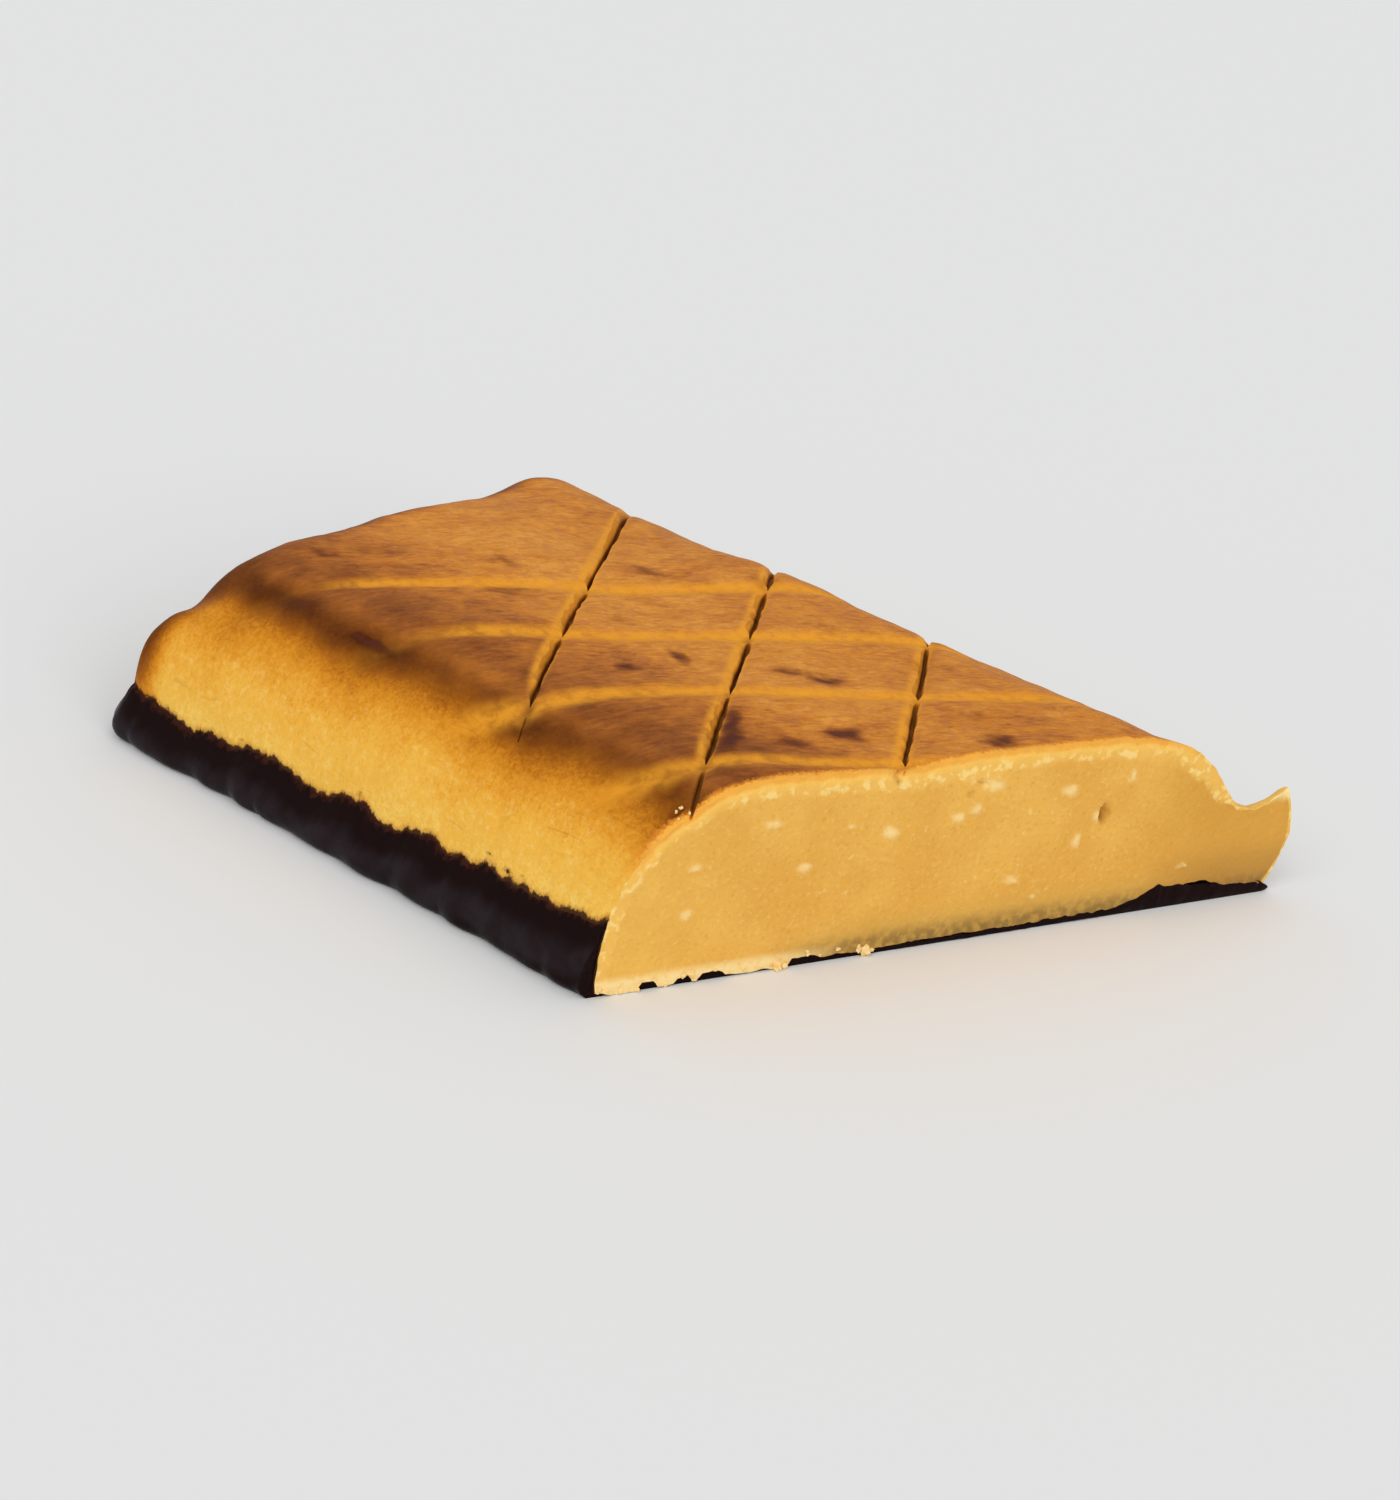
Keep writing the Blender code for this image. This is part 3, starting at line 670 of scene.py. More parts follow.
def slit_cutter():
    """The slits of the deep scores: SLIT_PROFILE carried along each line.

    Its width and depth vary by patchworks, and both shrink at the ends and where a pale
    score crosses, which pressed the slit shut.
    """
    across, down = np.transpose(SLIT_PROFILE)
    t = np.linspace(0, 1, SLIT_STEPS)
    at = np.arange(SLIT_STEPS * len(across)).reshape(SLIT_STEPS, -1)
    at = np.column_stack([at, at[:, 0]])
    points, groups = [], []
    for k, (at_x, to_y) in enumerate(zip(DEEP_AT, DEEP_TO_Y)):
        y = DEEP_FROM_Y + (to_y - DEEP_FROM_Y) * t
        x = at_x + y / math.tan(DEEP_ANGLE) + 0.1 * patchwork(y, 0, 2.6, 71 + k)
        opened = ease(np.minimum(t, 1 - t), 0, SLIT_END)
        opened = opened * (1 - 0.97 * pale_grooves(x, y, PALE_WIDE))
        wide = SLIT_WIDE + 0.13 * patchwork(y, 0, 0.9, 75 + k)
        wide = wide * (SLIT_SHUT_WIDE + (1 - SLIT_SHUT_WIDE) * opened)
        deep = SLIT_DEEP + 0.25 * patchwork(y, 0, 1.6, 79 + k)
        deep = deep * (SLIT_SHUT_DEEP + (1 - SLIT_SHUT_DEEP) * opened)
        top = top_height(x, y) - SHOULDER_DEPTH * deep_grooves(x, y, SHOULDER_WIDE, SHOULDER_ASIDE)
        side = across * wide[:, None]
        drop = np.where(down < 1, down * deep[:, None], SLIT_CLEAR)
        ring = [x[:, None] - side * math.sin(DEEP_ANGLE), y[:, None] + side * math.cos(DEEP_ANGLE),
                top[:, None] + drop]
        points.append(np.stack(ring, -1).reshape(-1, 3))
        groups += [quads_of(at[:, ::-1]), [at[0, -2::-1]], [at[-1, :-1]]]
        at = at + SLIT_STEPS * len(across)
    return put_mesh("slits", np.concatenate(points), groups)


def cut_slits(loaf):
    """Takes the slits out of the loaf, and removes their cutter.

    The solver is the manifold one, because the exact one leaves the first slit open here.
    """
    cutter = slit_cutter()
    step = loaf.modifiers.new("slits", "BOOLEAN")
    step.operation = "DIFFERENCE"
    step.solver = "MANIFOLD"
    step.object = cutter
    depsgraph = bpy.context.evaluated_depsgraph_get()
    result = bpy.data.meshes.new_from_object(loaf.evaluated_get(depsgraph))
    loaf.modifiers.clear()
    old = loaf.data
    loaf.data = result
    result.name = old.name
    bpy.data.meshes.remove(old)
    bpy.data.objects.remove(cutter, do_unlink=True)


def steepness(x, y, near, far, end):
    """1 on the sides and the dark band, falling to 0 on the top, from the climbs up the sides."""
    near = ease(near - 0.8 * patchwork(x, y, 2.5, 15), 22, 17)
    return np.max([near, ease(end, 15, 8), ease(far, 20, 11)], axis=0)


def toast_near(x, y, z, arc):
    """Toasting of the near side and the top, at arc lengths up them.

    NEAR_TOAST, read at the arc length plus the band's own shift at x and a little noise. What
    is darker than the top is scaled to the band's darkest tone at x. The side is warmer
    towards the whole end, and the top is paler at its middle left and browner near the
    shoulder and the cut.
    """
    at_x, lower, darkest = np.transpose(BAND_ALONG)
    wander = 0.45 * patchwork(x, 0.3 * z, 3.4, 11) + 0.3 * patchwork(x, z, 1.3, 12)
    toast = through(arc + through(x, at_x, lower) + wander, *np.transpose(NEAR_TOAST))
    stretch = (through(x, at_x, darkest) - TOP_TOAST) / (BAND_TOAST - TOP_TOAST)
    toast = np.minimum(toast, TOP_TOAST) + np.maximum(toast - TOP_TOAST, 0) * stretch
    warm = 0.11 * ease(x, -26, -35) * between(arc, 8, 12, 3)
    pale = 0.05 * hill((x + 20) / 12, (y - 2) / 9)
    brown = 0.13 * ease(y, -5, -15) * ease(arc, 20, 23)
    at_cut = 0.05 * ease(x - 0.42 * y, 17, 23) * ease(arc, 18, 22)
    return toast + warm - pale + brown + at_cut


def toast_of(x, y, z, near, far, end):
    """How toasted the crust is, from 0, pale yellow, to 1, dark brown.

    The near side and the top ease into the whole end and the far side.
    """
    near = toast_near(x, y, z, near)
    end = through(end + 1.2 * patchwork(y, z, 3.0, 13), *np.transpose(END_TOAST))
    far = through(far + 1.2 * patchwork(x, z, 3.6, 14), *np.transpose(FAR_TOAST))
    at_end = ease(x - WALL_END - 3 * ease(z, 12, 16), 5, 1)
    at_far = ease(y, 6, 16)
    return near + (end - near) * at_end + (far - near) * at_far * (1 - at_end)


def smears(x, y):
    """Strength of the dark smears: exp(-(a / half length)^2 - (b / half width)^2) of each."""
    x, y = jostled(x, y, 0.5, 1.1, 21)
    shapes = []
    for at_x, at_y, half, wide, degrees, strength in SMEARS:
        c, s = math.cos(math.radians(degrees)), math.sin(math.radians(degrees))
        dx, dy = (x - at_x) / SMEAR_SPREAD, (y - at_y) / SMEAR_SPREAD
        shapes.append(strength * hill((dx * c + dy * s) / half, (dy * c - dx * s) / wide))
    return np.max(shapes, axis=0)


def face_marks(s, z):
    """Strength of the cream flecks, and of the painted shade in the holes, in the cut."""
    s, z = jostled(s, z, 0.25, 0.7, 23)
    holes = [min(1.0, 1.4 * hole[-1]) * shape for hole, shape in zip(HOLES, ovals(s, z, HOLES, 2))]
    return np.max(ovals(s, z, FLECKS, 2), axis=0), np.max(holes, axis=0)


def outline_distance(s, z, outline):
    """Distance of points from the outline of the cut, the nearest of its straight pieces."""
    best = np.full(len(s), 99.0)
    for (a_s, a_z), (d_s, d_z) in zip(outline[:-1], np.diff(outline, axis=0)):
        t = np.clip(((s - a_s) * d_s + (z - a_z) * d_z) / max(d_s * d_s + d_z * d_z, 1e-9), 0, 1)
        best = np.minimum(best, np.hypot(s - a_s - t * d_s, z - a_z - t * d_z))
    return best


def band_edge(side, t):
    """Height of the coat's upper edge at a share t along a side, a slow line with waves, and
    its fine bristles of patchwork.
    """
    start, length = COAT_SIDES[side]
    s = start + length * t
    ragged, fine = BAND_RAGGED * ripple(RAGGED_WAVES, s), grain(s, 0, BRISTLES)
    if side == "near":
        level = np.interp(WALL_END + (CUT_NEAR_X - WALL_END) * t, *np.transpose(NEAR_BAND))
        ragged = 0.3 * ragged
    elif side == "end":
        corner = NEAR_BAND[0][1]
        level = corner + (BAND_FAR - corner) * t
        ragged = ragged * ease(t, 0, 0.15)
    else:
        drop = ease(t, *BAND_DROP)
        level = BAND_FAR + (BAND_AT_LIP - BAND_FAR) * drop
        ragged, fine = ragged * (1 - drop), fine * (1 - 0.85 * drop)
    return level + ragged, fine


def above_coat(x, y, z):
    """Height above the coat's ragged edge, close to 0 in each of SPECKS.

    A point belongs to the side that it is nearest to in plan, and takes the edge's height at
    its own place along that side.
    """
    along = np.clip((x - WALL_END) / (cut_x(y) - WALL_END), 0, 1)
    across = np.clip((y - WALL_NEAR) / (WALL_FAR - WALL_NEAR), 0, 1)
    near, far = y - WALL_NEAR, WALL_FAR - y
    at_near, at_end, at_far = [sum(band_edge(side, t)) for side, t in
                               (("near", along), ("end", across), ("far", along))]
    on_end = x - WALL_END < np.minimum(near, far)
    above = z - np.where(on_end, at_end, np.where(near < far, at_near, at_far))
    for speck in ovals(x, z, SPECKS):
        above = above * (1 - 0.95 * speck * (near < 6.0))
    return above


def paint_loaf(mesh, outline):
    """Keeps the toasting, scores, smears, flecks, distances, and painted shade in slits and holes, as
    numbers on the points.
    """
    flat = np.empty(len(mesh.vertices) * 3, np.float32)
    mesh.vertices.foreach_get("co", flat)
    x, y, z = flat.reshape(-1, 3).astype(float).T / MM
    climbs = [climb(side, inset, z) for side, inset in insets(x, y)]
    gap = (cut_x(y) - x) * WIDTH / CUT_LENGTH
    s = cut_s(y)
    rind = np.where(gap < 1.6, outline_distance(s, z, outline), 9.0)
    gold = deep_grooves(x, y, SHOULDER_GOLD, SHOULDER_GOLD_ASIDE)
    # Painted shade in the slits, growing from 0.42 to 0.82 mm below the crust's top
    slit_shade = ease(top_height(x, y) - z, 0.42, 0.82) * deep_grooves(x, y, 0.9, 0)
    plateau = ease(z, *PLATEAU)
    cream, hole_shade = face_marks(s, z)
    marks = {
        "toast": toast_of(x, y, z, *climbs),
        "side": steepness(x, y, *climbs),
        "pale": pale_grooves(x, y, PALE_GOLD, PALE_IN_BAND) * plateau,
        "shoulder": gold * plateau * (1 - 0.75 * ease(y, *SHOULDER_BAND_Y)),
        "slit_shade": slit_shade * plateau,
        "smear": smears(x, y) * plateau,
        "torn": ease(WALL_FAR - y, 13, 10) * ease(gap, 4.5, 1),
        "above": above_coat(x, y, z),
        "gap": gap,
        "rind": rind,
        "edge": np.clip(rind / np.interp(s, *np.transpose(RIM_WIDTH)), 0, 9),
        "along": s,
        "high": z,
        "fleck": cream,
        "hole": hole_shade,
    }
    for name, values in marks.items():
        paint(mesh, name, values)


def coat_skin():
    """Outer skin of the coat, on a grid of stations round it and rows up it.

    At a share of the edge's height a point lies on the marzipan's side, moved out by the
    skin's profile and the scallops. The bristles fade by share^6 below the edge, which dips
    just under the marzipan's surface.
    """
    share = np.linspace(0, 1, COAT_ROWS) ** 1.15
    out_of = COAT_SIDE + through(share, *np.transpose(COAT_SKIN))
    waist = 1 - 0.85 * ease(share, *COAT_WAIST)
    stations = []
    for side, (start, length) in COAT_SIDES.items():
        ends = (1, 0) if side == "near" else (0, 1)
        t = np.linspace(*ends, int(abs(length) / COAT_STEP))[:, None]
        s = start + length * t
        level, fine = band_edge(side, t)
        z = share * level + share ** 6 * fine
        lobes = np.hypot(np.sin(s / LOBE_LONG + 1.5 * patchwork(s, 0, 6.0, 49)), 0.25) - 0.65
        bump = (LOBES * lobes + SCALLOP * ripple(SCALLOP_WAVES, s)) * waist
        bump = bump + 0.07 * patchwork(s, z, 2.2, 44) * np.sin(math.pi * share)
        bulge = CORNER_BULGE * hill((s - NEAR_LENGTH) / CORNER_BULGE_RUN) * waist
        out = out_of + bump + bulge
        near_y = WALL_NEAR + side_inset(NEAR_SIDE, z) - out
        far_y = WALL_FAR - side_inset(FAR_SIDE, z) + out
        end_x = WALL_END + side_inset(END_SIDE, z) - out
        if side == "end":
            x, y = end_x, near_y + (far_y - near_y) * t
        else:
            y = near_y if side == "near" else far_y
            x = end_x + (cut_x(y) - end_x) * t
        x, y = round_corners(x, y)
        points = np.stack([x, y, z], -1)
        stations.append(points[1:] if stations else points)
    return np.concatenate(stations)


def coat_line(s):
    """Height of the chocolate that shows under the cut at s: COAT_SHOWS, a little ragged."""
    ragged = grain(s, 0, COAT_LINE_GRAIN) * (1 - 0.75 * ease(s, 61, 63))
    return through(s, *np.transpose(COAT_SHOWS)) + ragged


def coat_cut(skin):
    """The coat's own cut, a strip from its outer line to its inner line in the cut's plane.

    The outer line runs down the near column, along the ground and up the far column. The
    inner line runs down the marzipan's wall, along coat_line and up the lip. The strip is
    P(k, w) = (1 - w) outer + w inner, moved out by patchworks. It comes to stand proud of the
    marzipan's cut at about s = 30, and bends back behind it at its inner line.
    """
    near, far = skin[0][::-1], skin[-1]
    t = np.linspace(0, 1, int(CUT_LENGTH / COAT_STEP))[1:-1, None]
    base = near[-1] * (1 - t) + far[0] * t
    outer = np.concatenate([near, base, far])
    wall_z, lip_z = [np.maximum(side[:, 2], COAT_INNER_LOW) for side in (near, far)]
    floor_y = base[:, 1].clip(WALL_NEAR + 0.5, WALL_FAR - 0.2)
    inner = np.concatenate([
        on_cut(WALL_NEAR + side_inset(NEAR_SIDE, wall_z) + 0.1, wall_z),
        on_cut(floor_y, coat_line(cut_s(floor_y))),
        on_cut(np.full_like(lip_z, WALL_FAR - 0.1), lip_z)])
    w = np.linspace(0, 1, COAT_CUT_ROWS)
    strip = outer[:, None] * (1 - w[:, None]) + inner[:, None] * w[:, None]
    s, z = cut_s(strip[..., 1]), strip[..., 2]
    proud = 0.2 * ease(s, 27, 32) - 0.08
    move = grain(s, z, COAT_CUT_GRAIN) * (1 + 0.8 * between(s, 56, 60, 3))
    move = move + proud - (proud + 0.18) * w ** 5
    return strip + (move * (w > 0))[..., None] * CUT_OUT


def make_coat(finish):
    """The coat as one closed mesh: skin, its cut, a flat underside and a hidden lid."""
    skin = coat_skin()
    strip = coat_cut(skin)
    stations, rows = skin.shape[:2]
    base = strip[rows:-rows, 0]
    skin_at = np.arange(stations * rows).reshape(stations, rows)
    base_at = skin_at.size + np.arange(len(base))
    outer_at = np.concatenate([skin_at[0][::-1], base_at, skin_at[-1]])
    inner_at = np.arange(len(strip) * (COAT_CUT_ROWS - 1)).reshape(len(strip), -1)
    strip_at = np.column_stack([outer_at, skin_at.size + len(base) + inner_at])
    points = np.concatenate([skin.reshape(-1, 3), base, strip[:, 1:].reshape(-1, 3), [COAT_HUB]])
    rim = [skin_at[:, -1], strip_at[-1, 1:], strip_at[-2::-1, -1], strip_at[0, -2::-1]]
    groups = [quads_of(skin_at), quads_of(strip_at), [[*skin_at[:, 0], *base_at[::-1]]],
              fan(len(points) - 1, np.concatenate(rim))]
    coat = put_mesh("chocolate_tray", points, groups, [finish])
    turn_out(coat.data)
    under_edge = np.full(len(points), 9.0)
    under_edge[:skin_at.size] = (skin[:, -1:, 2] - skin[..., 2]).ravel()
    paint(coat.data, "under_edge", under_edge)
    return coat


def make_crumbs(finish):
    """Crumbs as bumpy balls in one mesh: radius = size (1 + noise) on a grid of rings and sides.

    They cling along the foot of the cut, thickest at its near end, and lie in the crumbled
    end of a deep score and on the rim. Their places come from a seeded draw.
    """
    draw = np.random.default_rng(CRUMB_SEED)
    s, size = np.transpose(BIG_CRUMBS)
    s = np.append(s, SMALL_FROM + SMALL_REACH * draw.random(SMALL_CRUMBS) ** 1.3)
    size = np.append(size, draw.uniform(*SMALL_SIZES, SMALL_CRUMBS))
    line = np.interp(s, *np.transpose(FOOT_LINE)) + 0.5 * draw.random(len(s))
    foot = on_cut(NEAR_Y + s * WIDTH / CUT_LENGTH, np.maximum(0.7 * size, line))
    foot = foot + CUT_OUT * (0.12 + 0.1 * size)[:, None]
    rim_y = RIM_CRUMBS_Y + 1.6 * draw.random(RIM_CRUMBS)
    rim_x = cut_x(rim_y) - 1.8 * draw.random(RIM_CRUMBS)
    rim_size = draw.uniform(*RIM_SIZES, RIM_CRUMBS)
    rim = np.stack([rim_x, rim_y, top_height(rim_x, rim_y) - 0.1 * rim_size], -1)
    centre, size = np.concatenate([foot, rim]), np.append(size, rim_size)

    tilt = np.linspace(0, math.pi, CRUMB_RINGS + 2)[1:-1, None]
    turn = np.arange(CRUMB_SIDES) * 2 * math.pi / CRUMB_SIDES
    ball = np.stack([np.sin(tilt) * np.cos(turn), np.sin(tilt) * np.sin(turn),
                     np.cos(tilt) + 0 * turn], -1).reshape(-1, 3)
    ball = np.concatenate([ball, [(0, 0, 1), (0, 0, -1)]])
    radius = size[:, None] * (1 + draw.uniform(-0.36, 0.26, (len(size), len(ball))))
    stretch = draw.uniform(0.65, 1.35, (len(size), 1, 3))
    points = centre[:, None] + ball * radius[..., None] * stretch
    points[..., 2] = np.maximum(points[..., 2], 0.02)
    top = CRUMB_RINGS * CRUMB_SIDES
    at = np.arange(top).reshape(CRUMB_RINGS, -1)
    at = np.column_stack([at, at[:, 0]])
    first = len(ball) * np.arange(len(size))[:, None, None]
    groups = [(first + faces).reshape(-1, faces.shape[1])
              for faces in (quads_of(at), fan(top, at[0]), fan(top + 1, at[-1]))]
    crumbs = put_mesh("almond_crumbs", points.reshape(-1, 3), groups, [finish])
    turn_out(crumbs.data)
    return crumbs


def tone(red, green, blue):
    """A colour given as it shows on a screen, 0 to 255, as the shader's linear numbers."""
    parts = np.array([red, green, blue]) / 255
    linear = np.where(parts <= 0.04045, parts / 12.92, ((parts + 0.055) / 1.055) ** 2.4)
    return (*linear.tolist(), 1.0)


class Recipe:
    """A material's nodes, added one by one around a Principled shader, and its colour so far."""

    def __init__(self, name, shades):
        self.material = bpy.data.materials.new(name)
        self.material.use_nodes = True
        self.tree = self.material.node_tree
        self.shader = self.tree.nodes["Principled BSDF"]
        self.shades = {shade: tone(*parts) for shade, parts in shades.items()}
        self.colour = next(iter(self.shades.values()))

    def feed(self, socket, value):
        if isinstance(value, bpy.types.NodeSocket):
            self.tree.links.new(value, socket)
        else:
            socket.default_value = value

    def add(self, kind, inputs, output=0, **settings):
        """Adds a node, sets or links its inputs, and gives one of its outputs."""
        node = self.tree.nodes.new("ShaderNode" + kind)
        for key, value in settings.items():
            setattr(node, key, value)
        for key, value in inputs.items():
            self.feed(node.inputs[key], value)
        return node.outputs[output]

    def join(self, operation, *numbers):
        """Takes numbers together one by one; one that is given in brackets is eased first."""
        eased = [self.ease(*part) if isinstance(part, tuple) else part for part in numbers]
        total = eased[0]
        for part in eased[1:]:
            total = self.add("Math", {0: total, 1: part}, operation=operation)
        return total

    def plus(self, *numbers):
        return self.join("ADD", *numbers)

    def times(self, *numbers):
        return self.join("MULTIPLY", *numbers)

    def swing(self, noise, amount):
        """A noise as numbers around 0: (noise - 1/2) amount."""
        return self.add("Math", {0: noise, 1: amount, 2: -amount / 2}, operation="MULTIPLY_ADD")

    def ease(self, value, start, end, most=1, least=0):
        """Smooth step from `least` where a value is `start` to `most` where it is `end`."""
        inputs = {"Value": value, "From Min": start, "From Max": end, "To Min": least, "To Max": most}
        return self.add("MapRange", inputs, interpolation_type="SMOOTHSTEP")

    def mix(self, factor, a, b, blend="MIX"):
        return self.add("Mix", {0: factor, 6: a, 7: b}, 2, data_type="RGBA", blend_type=blend)

    def wash(self, shade, *factors, blend="MIX"):
        """Mixes a shade over the colour so far, by the product of its factors."""
        self.colour = self.mix(self.times(*factors), self.colour, self.shades[shade], blend)

    def mark(self, name):
        """A number kept on the mesh's points."""
        return self.add("Attribute", {}, "Fac", attribute_name=name)

    def place(self, turn=0.0, scale=(1, 1, 1)):
        """Object coordinates in mm, turned about Z and then stretched."""
        turned = {"Vector": self.add("TexCoord", {}, "Object"), "Rotation": (0, 0, turn)}
        stretch = [part / MM for part in scale]
        return self.add("Mapping", {"Vector": self.add("Mapping", turned), "Scale": stretch})

    def noise(self, where, size, detail=3.0, rough=0.55, bend=0.0):
        inputs = {"Vector": where, "Scale": 1 / size, "Detail": detail, "Roughness": rough}
        return self.add("TexNoise", {**inputs, "Distortion": bend})

    def ramp(self, value, stops):
        """The stops' tones, read at a value."""
        tones = self.add("ValToRGB", {0: value})
        marks = tones.node.color_ramp.elements
        while len(marks) < len(stops):
            marks.new(1.0)
        for mark, (at, colour) in zip(marks, stops):
            mark.position = at
            mark.color = tone(*colour)
        return tones

    def finish(self, bumps, roughness, specular):
        """Gives the shader its colour, bumps as height and depth in mm, and gloss."""
        normal = {}
        for height, depth in bumps:
            inputs = {"Height": height, "Strength": 1.0, "Distance": depth * MM, **normal}
            normal = {"Normal": self.add("Bump", inputs)}
        gloss = {"Roughness": roughness, "Specular IOR Level": specular}
        for key, value in {"Base Color": self.colour, **normal, **gloss}.items():
            self.feed(self.shader.inputs[key], value)
        return self.material


# Tones of the sides and of the top by toasting, and shades of the crust's marks. These and the
# shades further on are red, green and blue, from 0 to 255, and a finish without tones starts
# from its first shade
SIDE_TONES = [
    (0, (247, 204, 100)), (0.1, (240, 186, 78)), (0.2, (237, 178, 68)), (0.31, (231, 164, 54)),
    (0.38, (224, 151, 43)), (0.48, (213, 138, 33)), (0.6, (191, 116, 24)), (0.72, (160, 92, 17)),
    (0.87, (127, 68, 12)), (1, (92, 45, 10))]
TOP_TONES = [
    (0, (240, 180, 80)), (0.45, (226, 152, 64)), (0.55, (214, 138, 52)), (0.6, (208, 131, 48)),
    (0.66, (196, 119, 45)), (0.72, (180, 107, 41)), (0.8, (154, 88, 36)), (0.9, (122, 66, 26)),
    (1, (90, 46, 22))]
CRUST_SHADES = {
    "dull": (192, 120, 70), "sugary": (247, 204, 116), "pressed": (238, 160, 44),
    "opened": (238, 160, 46), "haze": (202, 184, 186), "smear": (84, 40, 30),
    "slit_shade": (136, 82, 30), "baked edge": (216, 132, 42), "torn edge": (246, 176, 70),
    "torn": (234, 186, 96), "stain": (170, 104, 38), "chocolate": (50, 24, 16),
    "crack": (168, 100, 34), "pore": (120, 64, 20),
}
# Direction of the brush strokes in the glaze on the top, from +X
STROKES = 0.92


def crust_finish():
    """Toasted crust: its tones follow the toasting, with blotches, brushing, sand and scores."""
    r = Recipe("toasted_crust", CRUST_SHADES)
    where = r.place()
    toast, side = r.mark("toast"), r.mark("side")
    blotch = r.noise(r.place(-STROKES, (0.55, 1, 0.8)), 2, 5, 0.62, 0.5)
    strokes = r.noise(r.place(-STROKES, (0.3, 1, 0.6)), 0.42, 5, 0.7, 0.5)
    upright = r.noise(r.place(0, (1, 1, 0.5)), 0.5, 5, 0.68)
    cloud = r.noise(where, 4.5, 3, 0.55, 0.3)
    sand = r.noise(where, 0.3, 3, 0.68)
    tint = r.noise(where, 0.7, 5, 0.7)

    on_top = r.plus(r.swing(blotch, 0.5), r.swing(strokes, 0.66))
    on_side = r.plus(r.swing(sand, 0.34), r.swing(upright, 0.36))
    uneven = r.times(r.mix(side, on_top, on_side), (toast, 0.58, 0.86, 0.4, 1))
    toasted = r.plus(toast, uneven, r.swing(cloud, 0.26))
    r.colour = r.ramp(toasted, TOP_TONES)
    r.wash("dull", (tint, 0.47, 0.64, 0.54), (toast, 0.6, 0.78, 0.15, 1))
    on_top, r.colour = r.colour, r.ramp(toasted, SIDE_TONES)
    r.wash("sugary", (tint, 0.5, 0.7, 0.55), (toast, 0.55, 0.2))
    r.colour = r.mix(side, on_top, r.colour)

    # The scores' gold, the smears and painted shade in the slits
    broken = r.ease(r.noise(where, 1.2, 3), 0.3, 0.62, 1, 0.5)
    r.wash("pressed", (r.mark("pale"), 0.15, 0.95, 0.85), broken)
    r.wash("opened", (r.mark("shoulder"), 0.15, 0.75, 0.9), broken)
    smear = r.times(r.mark("smear"), (blotch, 0.3, 0.62, 1, 0.55))
    r.wash("haze", (smear, 0, 0.4, 0.8), blend="MULTIPLY")
    r.wash("smear", (smear, 0.2, 0.8, 0.88))
    r.wash("slit_shade", r.mark("slit_shade"))

    # The edge at the cut, and what the chocolate stained above its own edge
    gap = r.plus(r.mark("gap"), r.swing(sand, 1.1))
    baked = r.ease(toast, 0.22, 0.55)
    r.wash("baked edge", (gap, 0.95, 0.5), baked)
    r.wash("torn edge", (gap, 0.62, 0.22), baked)
    r.wash("torn", r.mark("torn"))
    fuzz = r.noise(r.place(0, (1, 1, 0.75)), 0.5, 5, 0.66)
    above = r.plus(r.mark("above"), r.swing(fuzz, 1.2))
    r.wash("stain", (above, 0.75, 0.1, 0.55))
    r.wash("chocolate", (above, 0.3, 0.04, 0.95))

    # Fine cracks up the sides, along the lines where a slow noise is at its middle, and pores
    wandering = r.noise(r.place(0, (0.22, 1, 1)), 4, 1)
    contour = r.add("Math", {0: r.swing(wandering, 1)}, operation="ABSOLUTE")
    crack = r.times((contour, 0.01, 0.003), (r.noise(where, 4.5, 0), 0.6, 0.68))
    r.wash("crack", crack, side, 0.24)
    r.wash("pore", (sand, 0.36, 0.24, 0.275))
    bumps = [(r.mix(side, strokes, upright), 0.12), (sand, 0.06)]
    return r.finish(bumps, r.ease(blotch, 0.3, 0.7, 0.48, 0.62), 0.04)


CUT_SHADES = {
    "deep straw": (229, 170, 74), "straw": (236, 180, 83), "light grain": (245, 200, 112),
    "dark grain": (208, 150, 58), "dot": (248, 212, 136), "near end": (250, 204, 100),
    "low": (206, 164, 80), "far end": (211, 153, 62), "low far end": (184, 134, 62),
    "shade above chocolate": (140, 108, 58), "rim": (243, 190, 92), "rim bit": (253, 221, 140),
    "rind": (252, 198, 92), "gold": (242, 164, 58), "tip": (254, 234, 164),
    "foot": (250, 222, 156), "fleck": (252, 222, 152), "hole": (140, 84, 20),
}


